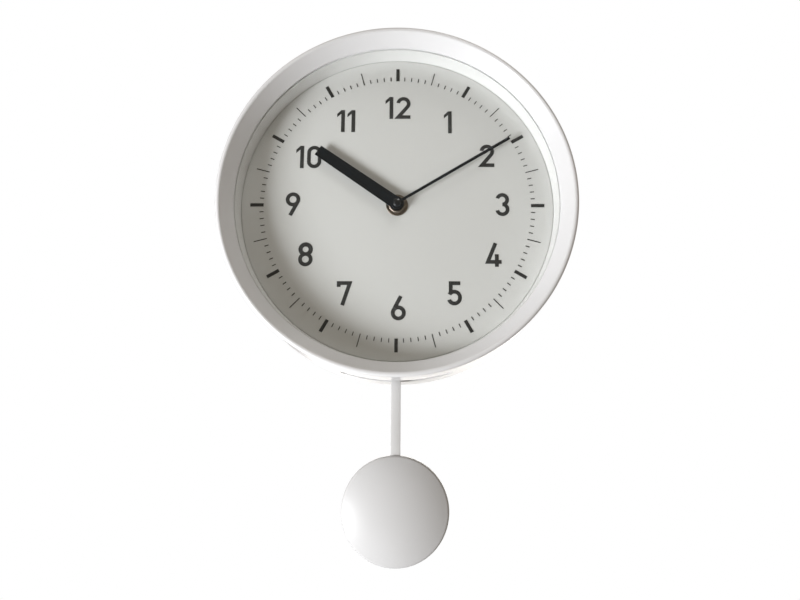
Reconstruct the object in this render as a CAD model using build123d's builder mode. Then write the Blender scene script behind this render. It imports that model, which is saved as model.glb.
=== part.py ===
"""Pendulum wall clock: a round, deep case with a quartz hand movement and a magnet-driven pendulum.

Frame: the origin is in the middle of the clock's back, on the wall plane. +Z points to twelve
o'clock and the clock faces -Y. Every "depth" below is a distance in front of the wall, so a point
at depth d has y = -d. Angles on the dial are clockwise from twelve. All sizes are in millimetres.
"""

import math
import os

from build123d import *

os.makedirs("parts", exist_ok=True)

# Clearances
FREE_GAP = 0.3        # between pieces that move past each other
RUN_GAP = 0.05        # radial, shaft in a bearing
SEAT_GAP = 0.3        # radial, pieces dropped into the case
TOUCH_GAP = 0.1       # battery to its contacts
BORE_GAP = 0.15       # radial, bushing through the dial, the plate and the washer
HEAD_GAP = 0.2        # round a screw or rivet head in its recess
COVER_GAP = 0.5       # radial, rear cover in the case
THROUGH_GAP = 0.2     # from a screw's end to the dial, and over the rod's front face

# Case, from the dial's visible edge outwards
DIAL_EDGE_R = 106.2
RING_FLARE = 1.1      # the spacer ring opens by this much up to the bezel
BEZEL_FLARE = 6.1     # radial width of the sloping bezel
LIP_WIDTH = 3.5
SIDE_TAPER = 3.1      # the side wall is this much wider at the wall than at the lip
CASE_DEPTH = 59.0
LIP_HEIGHT = 2.7      # the lip's crest stands this far over the side wall's front edge
BEZEL_STEP = 1.2      # from the lip's crest back to the bezel's outer edge
BEZEL_DROP = 8.3      # from the bezel's outer edge back to the ledge
DIAL_RECESS = 15.5    # from the ledge back to the dial's front face
RIM_SOLID = 5.8       # from the bezel's outer edge back to the hollow behind it
LEDGE_THICK = 1.2
CASE_WALL = 2.5
SKIRT_WALL = 1.6
SLOT_HALF = 37.5      # half of the pendulum slot's length
SLOT_WIDTH = 9.5
SLOT_EDGE = 1.0       # from the dial's face back to the slot

# Lens, ring, dial and its support plate
LENS_THICK = 2.0
RING_WALL = 3.3
DIAL_THICK = 0.8
PLATE_THICK = 2.0
PLATE_OVERLAP = 1.0   # the plate laps over the skirt's end
PLATE_FLAT_DROP = 6.8  # bottom of the plate is cut off this far inside its edge
EAR_COUNT = 6
EAR_WIDTH = 9.0
EAR_AIR = 0.4         # from an ear's outer corners to the side wall
EAR_ROOT = 3.0        # from the ear's screw in to the ear's middle
INK = 0.15

# Dial marks
TRACK_INSET = 6.2     # from the dial's visible edge to the outer ends of the marks
MARK_LENGTH = 9.1
HOUR_MARK_WIDTH = 2.3
FINE_MARK_WIDTH = 0.6
SHORT_MARK_LENGTH = 2.8
DIVISIONS = 120
NUMERAL_INSET = 28.8  # from the outer ends of the marks to the numerals' middle
NUMERAL_HEIGHT = 16.2
NUMERAL_WIDTH = 9.9
STROKE = 2.55
ONE_WIDTH = 5.4
PAIR_GAP = 2.2
DOUBLE_ONE_GAP = 1.8
# How far each numeral's middle is printed to the right of and above its even place
NUMERAL_SHIFTS = {
    1: (-0.7, -1.5), 2: (0, 0), 3: (0.3, 0.7), 4: (3.5, 1.2), 5: (2.8, 1.0), 6: (1.3, 0.4),
    7: (0.8, 0.8), 8: (0.4, 1.0), 9: (0.2, 0.8), 10: (0.5, -1.1), 11: (-0.3, -0.7), 12: (0.2, -0.4),
}

# Hands, showing ten past ten
HOUR_ANGLE = 304.9
MINUTE_ANGLE = 58.8
HOUR_TIP_INSET = 5.0  # from the numerals' middle back to the hour hand's tip
MINUTE_TIP_INSET = 10.6
HOUR_ROOT_WIDTH = 8.6
HOUR_TIP_WIDTH = 7.6
MINUTE_ROOT_WIDTH = 1.8
MINUTE_TIP_WIDTH = 2.0
HAND_THICK = 0.6
HAND_RISE = 0.8       # from the bushing's end to the hour hand
HAND_STEP = 0.7       # from the hour tube's end to the minute hand
HOUR_HUB_R = 4.7
MINUTE_HUB_R = 4.4
CAP_R = 2.8
CAP_HEIGHT = 1.5
CAP_SEAT = 0.5        # the arbor's end reaches this far into the cap
CAP_EDGE = 0.6

# Back
COVER_THICK = 2.4
WINDOW_MARGIN = 4.0
SCREW_R = 1.1
SCREW_HEAD_R = 2.4
SCREW_HEAD = 1.5
SCREW_GRIP = 8.0
SCREW_END = 1.0       # the hole is this much deeper than its screw
CROSS_LENGTH = 3.2    # cross recess in a screw's head
CROSS_WIDTH = 0.7
CROSS_DEPTH = 0.6
BOSS_WALL = 1.3
BOSS_BITE = 0.1       # a cover boss runs this far into the side wall
COVER_BOSS_R = 3.8
RIB_INSET = 10.0
RIB_WIDTH = 1.5
RIB_HEIGHT = 1.5
KNOB_ROOM = 2.5       # cover's hole around the setting knob
HEAD_SINK = 1.25      # recess in the cover for screw and rivet heads
COVER_BOSS_LENGTH = 25.6
HANGER_Z = 80.0
HANGER_THICK = 1.2
HANGER_WIDTH = 44.0
HANGER_HEIGHT = 30.0
KEYHOLE_R = 4.5
KEYHOLE_NECK_R = 2.2
KEYHOLE_RISE = 9.0
RIVET_R = 1.6
RIVET_HEAD_R = 3.0
RIVET_HEAD = 1.0
RIVET_INSET = 6.0     # from the hanger's end to its rivet
HANGER_CORNER = 4.0
HANGER_WINDOW = 3.0   # the cover's opening around the keyhole is this much wider

# Hand movement
MOVE_WIDTH = 56.0
MOVE_WALL = 1.5
MOVE_SIDE = 1.2
MOVE_CORNER = 3.0
TRAY_DEPTH = 5.6      # depth of the movement's front shell
WHEEL_ROOM = 0.74     # from the hour wheel's teeth to the battery bay's wall
PIVOT_IN = 0.7        # length of a pivot inside its bearing
POST_R = 1.2
STATOR_POST_R = 0.7
BRIDGE_THICK = 1.0
BRIDGE_GAP = 0.2      # round the bridge
END_GAP = 0.2         # past the end of a pivot
BUSHING_R = 4.0
BUSHING_LIP = 1.5     # flange around the bushing's rear end
BUSHING_FLANGE = 0.6
BUSHING_TOP = 2.9     # the bushing stands this far out of the dial
WASHER_WIDTH = 3.5
WASHER_THICK = 0.8
NUT_WALL = 1.7
NUT_THICK = 1.9
NUT_EDGE = 0.5
NOTCH_WIDTH = 1.2     # slot across the nut
NOTCH_DEPTH = 0.8
HOUR_TUBE_R = 2.5
HOUR_TUBE_BORE = 1.65
MINUTE_SEAT_R = 1.25
ARBOR_R = 1.15
PIVOT_R = 0.5
KNOB_SHAFT_R = 1.4
KNOB_R = 5.5
KNOB_THICK = 4.0
KNOB_GAP = 2.6
KNOB_RIBS = 12
KNOB_GROOVE_R = 0.7
CANNON_LENGTH = 1.3
MINUTE_WHEEL_THICK = 0.8
MINUTE_PINION_LENGTH = 2.0
HOUR_WHEEL_THICK = 1.0
CENTRE_HUB_R = 2.2
CENTRE_HUB = 0.5      # centre wheel's hub stands this far behind the wheel

# Gears: tooth counts and modules
CANNON_TEETH = 12
MINUTE_WHEEL_TEETH = 36
MINUTE_PINION_TEETH = 10
HOUR_WHEEL_TEETH = 40
MOTION_MODULE = 0.5
CENTRE_TEETH = 64
THIRD_TEETH = 60
FOURTH_TEETH = 50
FIFTH_TEETH = 48
SMALL_PINION_TEETH = 8
FIFTH_PINION_TEETH = 10
TRAIN_MODULE = 0.3
WHEEL_THICK = 0.6
TRAIN_STEP = 1.6      # depth between one train wheel and the next
TRAIN_GAP = 1.2       # from the bridge back to the centre wheel
HOUR_RISE = 1.7       # from the cannon pinion's back to the hour wheel's back
ROTOR_R = 2.4
AIR_GAP = 0.5
STATOR_THICK = 0.8
STATOR_INSET = 2.8    # from the housing's left wall
STATOR_TOP = 0.8      # from the housing's top wall
COIL_R = 3.5
COIL_LENGTH = 18.0
COIL_FLANGE = 1.0
COIL_STEP = 0.6
COIL_RIGHT = -3.0     # x of the coil's right end
CORE_Z = 18.2
CORE_HEIGHT = 1.6
STATOR_RING = 1.1     # iron around the rotor's air gap
STATOR_LEG = 2.0
BOARD_AT = (-14.0, -0.7)
BOARD_WIDTH = 20.0
BOARD_HEIGHT = 18.4
BOARD_THICK = 0.8
BOARD_GAP = 0.7       # from the housing's floor to the board
BOARD_POSTS_AT = [(-22.0, 6.5), (-6.0, -8.0)]
BOARD_POST_R = 1.0
CHIP_AT = (-18.0, 3.0)
CHIP_R = 3.0
CHIP_THICK = 1.0
CRYSTAL_AT = (-22.0, -5.0)
CRYSTAL_R = 1.0
CRYSTAL_LENGTH = 6.0

# Battery, size AA
CELL_R = 7.1
CELL_BODY = 49.2
CELL_NUB_R = 2.75
CELL_NUB = 1.3
CELL_EDGE = 0.6
BAY_GAP = 0.35        # above and below the cell
CONTACT_THICK = 0.4
CONTACT_WIDTH = 6.0
CONTACT_BACK = 4.0    # from the cell's axis to the strip's rear edge
CONTACT_FRONT = 5.0
CONTACT_SHORT = 1.0   # the leaf on the cell is shorter by this much

# Pendulum drive and pendulum
PIN_INSET = 4.0       # from the drive's top down to the swing axis
DRIVE_WIDTH = 42.0
DRIVE_TOP = 4.0       # gap between the two modules
DRIVE_HEIGHT = 34.0
DRIVE_DEPTH = 13.0
DRIVE_WALL = 1.5
DRIVE_CORNER = 1.5
DRIVE_COIL_R = 7.0
DRIVE_COIL_BORE = 2.5
DRIVE_BOARD_GAP = 0.5
DRIVE_BOARD_THICK = 1.0
MAGNET_AIR = 1.4      # from the drive's front to the magnet
LEG_DEPTH = 4.0       # a leg starts this far behind the drive's front
LEAD_X = 16.0
LEAD_R = 0.5
LEG_WIDTH = 6.0
LEG_HEIGHT = 16.0
PIN_R = 1.0
PIN_END = 1.1         # the pin stands this far past the clip's gap
CLIP_R = 2.2
CLIP_THICK = 0.6
HUB_GAP = 0.6         # leader's hub to the drive's front
HUB_END = 0.8         # hub stands this far in front of the rod
LEADER_HUB_R = 3.2
LEADER_WIDTH = 8.0
LEADER_LENGTH = 28.0
LEADER_THICK = 1.6
LEADER_FACE = 6.8     # dial face back to the leader's front
MAGNET_R = 4.5
MAGNET_THICK = 3.2
MAGNET_DROP = 20.0
HOOK_DROP = 25.5
HOOK_R = 1.3
HOOK_HEAD_R = 2.3
HOOK_HEAD = 0.8
ROD_EYE = 3.4         # from the hook up to the rod's top
ROD_TUCK = 8.0        # from the bob's middle down to the rod's end
NOTCH_HEIGHT = 6.0    # opening in the bob's rim around the rod
ROD_WIDTH = 6.3
ROD_THICK = 1.2
BOB_R = 34.5
BOB_GAP = 46.0        # clear rod between the case and the bob
BOB_SKIRT = 4.6
BOB_DOME = 7.0
BOB_SHELL = 0.9
BOB_ROUND = 1.6
BOB_BACK_THICK = 1.0
BOB_RECESS = 2.2      # the bob's back lies this far behind the rod
WEIGHT_R = 29.0
BOB_RIVET_R = 1.5
BOB_RIVET_HEAD_R = 3.0
BOB_RIVET_BACK = 0.6
BOB_RIVET_FRONT = 0.8

# Worked out from the values above
RING_FRONT_R = DIAL_EDGE_R + RING_FLARE
BEZEL_OUTER_R = RING_FRONT_R + BEZEL_FLARE
WALL_FRONT_R = BEZEL_OUTER_R + LIP_WIDTH
WALL_BACK_R = WALL_FRONT_R + SIDE_TAPER
LIP_START = CASE_DEPTH - LIP_HEIGHT
BEZEL_START = CASE_DEPTH - BEZEL_STEP
LEDGE_FACE = BEZEL_START - BEZEL_DROP
HOLLOW_TOP = BEZEL_START - RIM_SOLID         # depth where skirt and side wall join
LEDGE_BACK = LEDGE_FACE - LEDGE_THICK
DIAL_FACE = LEDGE_FACE - DIAL_RECESS         # depth of the dial's front face
DROP_IN_R = DIAL_EDGE_R + RING_WALL          # lens, ring and dial all have this radius
SKIRT_IN_R = DROP_IN_R + SEAT_GAP
SKIRT_OUT_R = SKIRT_IN_R + SKIRT_WALL
PLATE_FRONT = DIAL_FACE - DIAL_THICK
PLATE_BACK = PLATE_FRONT - PLATE_THICK
PLATE_R = SKIRT_IN_R + PLATE_OVERLAP
BOSS_R = SCREW_R + BOSS_WALL
EAR_SCREW_R = SKIRT_OUT_R + SCREW_R
HOLLOW_R = WALL_BACK_R - CASE_WALL - SIDE_TAPER * PLATE_FRONT / LIP_START    # at the plate's front
EAR_END = math.sqrt((HOLLOW_R - EAR_AIR)**2 - (EAR_WIDTH / 2)**2)
EAR_REACH = EAR_END - EAR_SCREW_R            # from the ear's screw to its outer end
PLATE_BOTTOM = PLATE_R - PLATE_FLAT_DROP
COVER_R = WALL_BACK_R - CASE_WALL - COVER_GAP
COVER_SCREW_R = WALL_BACK_R - CASE_WALL - COVER_BOSS_R + BOSS_BITE
COVER_SCREW_ANGLES = [30, 90, 150, 210, 330]
TRACK_R = DIAL_EDGE_R - TRACK_INSET
NUMERAL_R = TRACK_R - NUMERAL_INSET

MOVE_FRONT = PLATE_BACK
MOVE_DEPTH = 2 * CELL_R + FREE_GAP + MOVE_WALL
MOVE_BACK = MOVE_FRONT - MOVE_DEPTH
MOVE_SPLIT = MOVE_FRONT - TRAY_DEPTH
ROOM_FRONT = MOVE_FRONT - MOVE_WALL
ROOM_BACK = MOVE_BACK + MOVE_WALL
BRIDGE_BACK = MOVE_SPLIT - BRIDGE_THICK
HALF_WIDTH = MOVE_WIDTH / 2
ROOM_HALF = HALF_WIDTH - MOVE_SIDE
CELL_DEPTH = ROOM_FRONT - CELL_R - FREE_GAP
PIVOT_END = ROOM_BACK - PIVOT_IN + TOUCH_GAP
BUSHING_END = DIAL_FACE + BUSHING_TOP
BUSHING_FLANGE_R = BUSHING_R + BUSHING_LIP
WASHER_R = BUSHING_R + WASHER_WIDTH
NUT_R = BUSHING_R + NUT_WALL

MOTION_DISTANCE = MOTION_MODULE * (CANNON_TEETH + MINUTE_WHEEL_TEETH) / 2
HOUR_MODULE = 2 * MOTION_DISTANCE / (MINUTE_PINION_TEETH + HOUR_WHEEL_TEETH)
TOOTH_TIP = 0.75      # a tooth stands this many modules over the pitch circle
ROOM_LOW = -HOUR_MODULE * (HOUR_WHEEL_TEETH / 2 + TOOTH_TIP) - WHEEL_ROOM
BAY_HIGH = ROOM_LOW - MOVE_SIDE
BAY_LOW = BAY_HIGH - 2 * (CELL_R + BAY_GAP)
MOVE_LOW = BAY_LOW - MOVE_SIDE               # the movement's lower end
MOVE_HEIGHT = HALF_WIDTH - MOVE_LOW
MOVE_MIDDLE = (HALF_WIDTH + MOVE_LOW) / 2
CELL_Z = (BAY_LOW + BAY_HIGH) / 2
MOTION_BACK = MOVE_SPLIT + FREE_GAP          # back face of the cannon pinion
HOUR_LAYER = MOTION_BACK + HOUR_RISE         # back face of the hour wheel
CENTRE_LAYER = BRIDGE_BACK - TRAIN_GAP
THIRD_LAYER = CENTRE_LAYER - TRAIN_STEP
FOURTH_LAYER = THIRD_LAYER - TRAIN_STEP
FIFTH_LAYER = FOURTH_LAYER - TRAIN_STEP
STATOR_BACK = FOURTH_LAYER - END_GAP

HOUR_HAND_BACK = BUSHING_END + HAND_RISE
HOUR_TUBE_END = HOUR_HAND_BACK + HAND_THICK + FREE_GAP
MINUTE_HAND_BACK = HOUR_TUBE_END + HAND_STEP
MINUTE_HAND_FRONT = MINUTE_HAND_BACK + HAND_THICK

DRIVE_HIGH = MOVE_LOW - DRIVE_TOP
DRIVE_LOW = DRIVE_HIGH - DRIVE_HEIGHT
DRIVE_Z = (DRIVE_HIGH + DRIVE_LOW) / 2
PIVOT_DROP = PIN_INSET - DRIVE_HIGH          # swing axis below the hands' axis
LEADER_FRONT = DIAL_FACE - LEADER_FACE
LEADER_BACK = LEADER_FRONT - LEADER_THICK
DRIVE_FRONT = LEADER_BACK - MAGNET_THICK - MAGNET_AIR
DRIVE_BACK = DRIVE_FRONT - DRIVE_DEPTH
LEG_BACK = DRIVE_FRONT - LEG_DEPTH
LEAD_DEPTH = LEG_BACK + 2 * LEAD_R
ROD_FRONT = LEADER_FRONT + ROD_THICK
BOB_Z = -(WALL_BACK_R + BOB_GAP + BOB_R)
BOB_BACK = LEADER_FRONT - BOB_RECESS


def polar(distance, clockwise):
    """A point (x, z) on the dial, at a clockwise angle from twelve."""
    angle = math.radians(clockwise)
    return (distance * math.sin(angle), distance * math.cos(angle))


def away(start, distance, angle):
    """The point (x, z) at a distance from start, at an anticlockwise angle from +X."""
    turn = math.radians(angle)
    return (start[0] + distance * math.cos(turn), start[1] + distance * math.sin(turn))


def facing(depth, at=(0, 0)):
    """A sketch plane that faces the viewer at this depth: its X is +X and its Y is +Z."""
    return Plane(origin=(at[0], -depth, at[1]), x_dir=(1, 0, 0), z_dir=(0, -1, 0))


def hand_plane(depth, clockwise):
    """A plane facing the viewer whose X runs along a hand."""
    x, z = polar(1, clockwise)
    return Plane(origin=(0, -depth, 0), x_dir=(x, 0, z), z_dir=(0, -1, 0))


def side_wall_r(depth):
    """Outer radius of the tapered side wall."""
    return WALL_BACK_R - SIDE_TAPER * depth / LIP_START


def pitch_r(teeth, module):
    return teeth * module / 2


def next_phase(phase, teeth, direction, next_teeth):
    """Angle of one tooth of the next gear, so that it is in mesh with a gear at this phase."""
    step = 360 / teeth
    past = ((direction - phase) % step) / step
    return direction + 180 + (past + 0.5) * 360 / next_teeth


def tooth_outline(teeth, module, phase):
    """Corner points of a gear with involute flanks, drawn about the origin."""
    pitch = pitch_r(teeth, module)
    base = pitch * math.cos(math.radians(20))
    root = pitch - 1.2 * module
    tip = pitch + TOOTH_TIP * module
    thickness = math.radians(360 / teeth) * 0.42

    def half_angle(radius):
        press = math.acos(min(1.0, base / max(radius, base)))
        at_pitch = math.acos(base / pitch)
        spread = (math.tan(at_pitch) - at_pitch) - (math.tan(press) - press)
        return thickness / 2 + spread

    start = max(base, root)
    flank = [root] if root >= base else [root, start]
    flank = flank + [start + (tip - start) * share for share in (0.5, 1.0)]
    points = []
    for tooth in range(teeth):
        middle = math.radians(phase + 360 * tooth / teeth)
        rising = [(radius, middle - half_angle(radius)) for radius in flank]
        falling = [(radius, middle + half_angle(radius)) for radius in reversed(flank)]
        for radius, angle in rising + falling:
            points.append((radius * math.cos(angle), radius * math.sin(angle)))
    return points


def toothed_disc(teeth, module, phase):
    """A gear outline as a face in the sketch that is open."""
    with BuildLine() as outline:
        Polyline(*tooth_outline(teeth, module, phase), close=True)
    make_face(outline.edges())


def save(part, name):
    part.part.label = name
    export_step(part.part, f"parts/{name}.step")


# Places of the arbors, as (x, z) behind the dial
CENTRE = (0.0, 0.0)
MINUTE_WHEEL_AT = away(CENTRE, MOTION_DISTANCE, 180)
KNOB_AT = away(MINUTE_WHEEL_AT, MOTION_DISTANCE, 90)
TO_THIRD = 60
TO_FOURTH = 0
TO_FIFTH = 80
TO_ROTOR = 170
THIRD_AT = away(CENTRE, TRAIN_MODULE * (CENTRE_TEETH + SMALL_PINION_TEETH) / 2, TO_THIRD)
FOURTH_AT = away(THIRD_AT, TRAIN_MODULE * (THIRD_TEETH + SMALL_PINION_TEETH) / 2, TO_FOURTH)
FIFTH_AT = away(FOURTH_AT, TRAIN_MODULE * (FOURTH_TEETH + FIFTH_PINION_TEETH) / 2, TO_FIFTH)
ROTOR_AT = away(FIFTH_AT, TRAIN_MODULE * (FIFTH_TEETH + SMALL_PINION_TEETH) / 2, TO_ROTOR)
PIVOT_AT = (0.0, -PIVOT_DROP)
MAGNET_AT = (0.0, -PIVOT_DROP - MAGNET_DROP)
HOOK_AT = (0.0, -PIVOT_DROP - HOOK_DROP)
BOB_AT = (0.0, BOB_Z)
LEG_X = DRIVE_WIDTH / 2 + LEG_WIDTH / 2
LEG_Z = DRIVE_LOW + LEG_HEIGHT / 2
LEGS_AT = [(-LEG_X, LEG_Z), (LEG_X, LEG_Z)]
RIVET_X = HANGER_WIDTH / 2 - RIVET_INSET
RIVETS_AT = [(-RIVET_X, HANGER_Z), (RIVET_X, HANGER_Z)]
EAR_ANGLES = [360 * ear / EAR_COUNT + 90 for ear in range(EAR_COUNT)]
EARS_AT = [polar(EAR_SCREW_R, angle) for angle in EAR_ANGLES]
COVER_SCREWS_AT = [away(CENTRE, COVER_SCREW_R, angle) for angle in COVER_SCREW_ANGLES]


# Case shell: side wall, rounded lip, sloping bezel, ledge and inner skirt turned as one piece
with BuildPart() as case_shell:
    with BuildSketch(Plane.XY):
        with BuildLine():
            Line((WALL_BACK_R, 0), (WALL_FRONT_R, -LIP_START))
            ThreePointArc(
                (WALL_FRONT_R, -LIP_START),
                (WALL_FRONT_R - LIP_WIDTH / 2, -CASE_DEPTH),
                (BEZEL_OUTER_R, -BEZEL_START),
            )
            Polyline(
                (BEZEL_OUTER_R, -BEZEL_START),
                (RING_FRONT_R, -LEDGE_FACE),
                (RING_FRONT_R, -LEDGE_BACK),
                (SKIRT_IN_R, -LEDGE_BACK),
                (SKIRT_IN_R, -PLATE_FRONT),
                (SKIRT_OUT_R, -PLATE_FRONT),
                (SKIRT_OUT_R, -HOLLOW_TOP),
                (side_wall_r(HOLLOW_TOP) - CASE_WALL, -HOLLOW_TOP),
                (WALL_BACK_R - CASE_WALL, 0),
                (WALL_BACK_R, 0),
            )
        make_face()
    revolve(axis=Axis.Y)
    with BuildSketch(facing(PLATE_FRONT)):
        with Locations(*EARS_AT):
            Circle(BOSS_R)
    extrude(amount=HOLLOW_TOP - PLATE_FRONT)
    with BuildSketch(facing(COVER_THICK)):
        with Locations(*COVER_SCREWS_AT):
            Circle(COVER_BOSS_R)
    extrude(amount=COVER_BOSS_LENGTH)
    with BuildSketch(facing(PLATE_FRONT)):
        with Locations(*EARS_AT):
            Circle(SCREW_R)
    extrude(amount=SCREW_GRIP, mode=Mode.SUBTRACT)
    with BuildSketch(facing(COVER_THICK)):
        with Locations(*COVER_SCREWS_AT):
            Circle(SCREW_R)
    extrude(amount=SCREW_GRIP, mode=Mode.SUBTRACT)
    slot_depth = DIAL_FACE - SLOT_EDGE - SLOT_WIDTH / 2
    with BuildSketch(Plane.XY.offset(-math.sqrt(SKIRT_IN_R**2 - SLOT_HALF**2))):
        with Locations((0, -slot_depth)):
            SlotOverall(2 * SLOT_HALF, SLOT_WIDTH)
    extrude(amount=-WALL_BACK_R, mode=Mode.SUBTRACT)
save(case_shell, "case_shell")

# Clear lens, held between the bezel's ledge and the spacer ring
with BuildPart() as lens:
    with BuildSketch(facing(LEDGE_BACK - LENS_THICK)):
        Circle(DROP_IN_R)
    extrude(amount=LENS_THICK)
save(lens, "lens")

# White spacer ring between the lens and the dial
ring_front = LEDGE_BACK - LENS_THICK
ring_slope = RING_FLARE * (ring_front - DIAL_FACE) / (LEDGE_FACE - DIAL_FACE)
with BuildPart() as spacer_ring:
    with BuildSketch(Plane.XY):
        with BuildLine():
            Polyline(
                (DIAL_EDGE_R, -DIAL_FACE),
                (DIAL_EDGE_R + ring_slope, -ring_front),
                (DROP_IN_R, -ring_front),
                (DROP_IN_R, -DIAL_FACE),
                close=True,
            )
        make_face()
    revolve(axis=Axis.Y)
save(spacer_ring, "spacer_ring")

# Dial sheet
with BuildPart() as dial_plate:
    with BuildSketch(facing(PLATE_FRONT)):
        Circle(DROP_IN_R)
        Circle(BUSHING_R + BORE_GAP, mode=Mode.SUBTRACT)
    extrude(amount=DIAL_THICK)
save(dial_plate, "dial_plate")

# Printed marks: a bar at each hour, a fine line half-way, and short ticks between
with BuildPart() as minute_track:
    with BuildSketch(facing(DIAL_FACE)):
        with PolarLocations(TRACK_R - MARK_LENGTH / 2, 12):
            Rectangle(MARK_LENGTH, HOUR_MARK_WIDTH)
        with PolarLocations(TRACK_R - MARK_LENGTH / 2, 12, start_angle=15):
            Rectangle(MARK_LENGTH, FINE_MARK_WIDTH)
        short_r = TRACK_R - MARK_LENGTH + SHORT_MARK_LENGTH / 2
        for division in range(DIVISIONS):
            if division % 5:
                with PolarLocations(short_r, 1, start_angle=360 * division / DIVISIONS):
                    Rectangle(SHORT_MARK_LENGTH, FINE_MARK_WIDTH)
    extrude(amount=INK)
save(minute_track, "minute_track")

# Numerals: each stroke is a path of lines and arcs, drawn with a pen of constant width
BOWL = (NUMERAL_WIDTH - STROKE) / 2
TOP = NUMERAL_HEIGHT - STROKE
EDGE = STROKE / 2
STEM_LEAN = 153       # angle at which the stem of a six leaves its bowl


def draw_ring(place, middle, radius):
    """A full circle of the pen, at a height above the numeral's foot."""
    with Locations(place * Location((0, middle))):
        Circle(radius + EDGE)
        Circle(radius - EDGE, mode=Mode.SUBTRACT)


def draw_zero(place):
    with Locations(place * Location((0, TOP / 2), (0, 0, 90))):
        SlotOverall(TOP + STROKE, 2 * BOWL + STROKE)
        SlotOverall(TOP - STROKE, 2 * BOWL - STROKE, mode=Mode.SUBTRACT)


def draw_one(place):
    right = ONE_WIDTH / 2
    with BuildLine(place) as path:
        Polyline(
            (right, -EDGE),
            (right, TOP + EDGE),
            (right - STROKE, TOP + EDGE),
            (-right, TOP - 1.5),
            (-right, TOP - 3.9),
            (right - STROKE, TOP - 1.4),
            (right - STROKE, -EDGE),
            close=True,
        )
    make_face(path.edges())


def draw_two(place):
    end = math.radians(-40)
    tip = (BOWL * math.cos(end), TOP - BOWL + BOWL * math.sin(end))
    foot = tip[0] + tip[1] * math.tan(end)
    with BuildLine(place) as path:
        CenterArc((0, TOP - BOWL), BOWL, 172, -212)
        Polyline(tip, (foot, 0), (BOWL + EDGE, 0))
    trace(path.line, line_width=STROKE)


def draw_three(place):
    upper = 0.49 * TOP / 2
    lower = TOP / 2 - upper
    with BuildLine(place) as path:
        CenterArc((0, TOP - upper), upper, 165, -255)
    trace(path.line, line_width=STROKE)
    with BuildLine(place) as path:
        CenterArc((0, lower), lower, 90, -258)
    trace(path.line, line_width=STROKE)


def draw_four(place):
    bar = 0.15 * TOP
    with BuildLine(place) as path:
        Polyline((BOWL * 0.3, TOP + EDGE), (-BOWL - 0.5, bar), (BOWL + EDGE, bar))
    trace(path.line, line_width=STROKE)
    with BuildLine(place) as path:
        Line((BOWL * 0.5, TOP * 0.53), (BOWL * 0.5, -EDGE))
    trace(path.line, line_width=STROKE)


def draw_five(place):
    left = 1 - BOWL + EDGE / 4
    with BuildLine(place) as path:
        Polyline((BOWL + 0.3, TOP), (left, TOP), (left, TOP * 0.5))
    trace(path.line, line_width=STROKE)
    with BuildLine(place) as path:
        CenterArc((0, BOWL + 0.6), BOWL, 152, -152)
        Line((BOWL, BOWL + 0.6), (BOWL, BOWL))
        CenterArc((0, BOWL), BOWL, 0, -162)
    trace(path.line, line_width=STROKE)


def draw_six(place):
    lean = math.radians(STEM_LEAN)
    leave = (BOWL * math.cos(lean), BOWL + BOWL * math.sin(lean))
    rise = TOP + EDGE - leave[1]
    with BuildLine(place) as path:
        Line(leave, (leave[0] - rise * math.tan(lean), TOP + EDGE))
    trace(path.line, line_width=STROKE)
    draw_ring(place, BOWL, BOWL)


def draw_seven(place):
    with BuildLine(place) as path:
        Polyline((-BOWL, TOP - 2.6), (-BOWL, TOP), (BOWL, TOP), (-BOWL * 0.3, -EDGE))
    trace(path.line, line_width=STROKE)


def draw_eight(place):
    upper = 0.475 * TOP / 2
    lower = TOP / 2 - upper
    with Locations(place * Location((0, lower)), place * Location((0, TOP - upper))):
        Circle(lower + EDGE)
    with Locations(place * Location((0, lower))):
        Circle(lower - EDGE, mode=Mode.SUBTRACT)
    with Locations(place * Location((0, TOP - upper))):
        Circle(upper - EDGE, mode=Mode.SUBTRACT)


def numeral_place(hour):
    """Middle of an hour's numeral on the dial."""
    x, z = polar(NUMERAL_R, 30 * hour)
    right, up = NUMERAL_SHIFTS[hour]
    return x + right, z + up


def upright(x, z):
    return Location((x, z - TOP / 2))


def upside_down(x, z):
    return Location((x, z + TOP / 2), (0, 0, 180))


one_shift = (ONE_WIDTH + PAIR_GAP + NUMERAL_WIDTH) / 2
double_one_shift = (ONE_WIDTH + DOUBLE_ONE_GAP) / 2
SINGLE_DIGITS = {
    1: draw_one, 2: draw_two, 3: draw_three, 4: draw_four,
    5: draw_five, 6: draw_six, 7: draw_seven, 8: draw_eight,
}
with BuildPart() as hour_numerals:
    with BuildSketch(facing(DIAL_FACE)):
        for hour, draw in SINGLE_DIGITS.items():
            draw(upright(*numeral_place(hour)))
        draw_six(upside_down(*numeral_place(9)))
        for hour, draw in ((10, draw_zero), (12, draw_two)):
            x, z = numeral_place(hour)
            left = x - one_shift + ONE_WIDTH / 2
            draw_one(upright(left, z))
            draw(upright(x + one_shift - NUMERAL_WIDTH / 2, z))
        x, z = numeral_place(11)
        draw_one(upright(x - double_one_shift, z))
        draw_one(upright(x + double_one_shift, z))
    extrude(amount=INK)
save(hour_numerals, "hour_numerals")

# Support plate behind the dial: six ears screw to the case, the bottom clears the pendulum
with BuildPart() as dial_support_plate:
    with BuildSketch(facing(PLATE_BACK)):
        Circle(PLATE_R)
        with Locations((0, -PLATE_BOTTOM - PLATE_R / 2)):
            Rectangle(2 * PLATE_R, PLATE_R, mode=Mode.SUBTRACT)
        for angle in EAR_ANGLES:
            with Locations(Location(polar(EAR_SCREW_R - EAR_ROOT, angle), (0, 0, 90 - angle))):
                Rectangle(2 * (EAR_ROOT + EAR_REACH), EAR_WIDTH)
        with Locations(*EARS_AT):
            Circle(SCREW_R + FREE_GAP, mode=Mode.SUBTRACT)
        with Locations(*LEGS_AT):
            Circle(SCREW_R, mode=Mode.SUBTRACT)
        Circle(BUSHING_R + BORE_GAP, mode=Mode.SUBTRACT)
    extrude(amount=PLATE_THICK)
save(dial_support_plate, "dial_support_plate")

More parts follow.
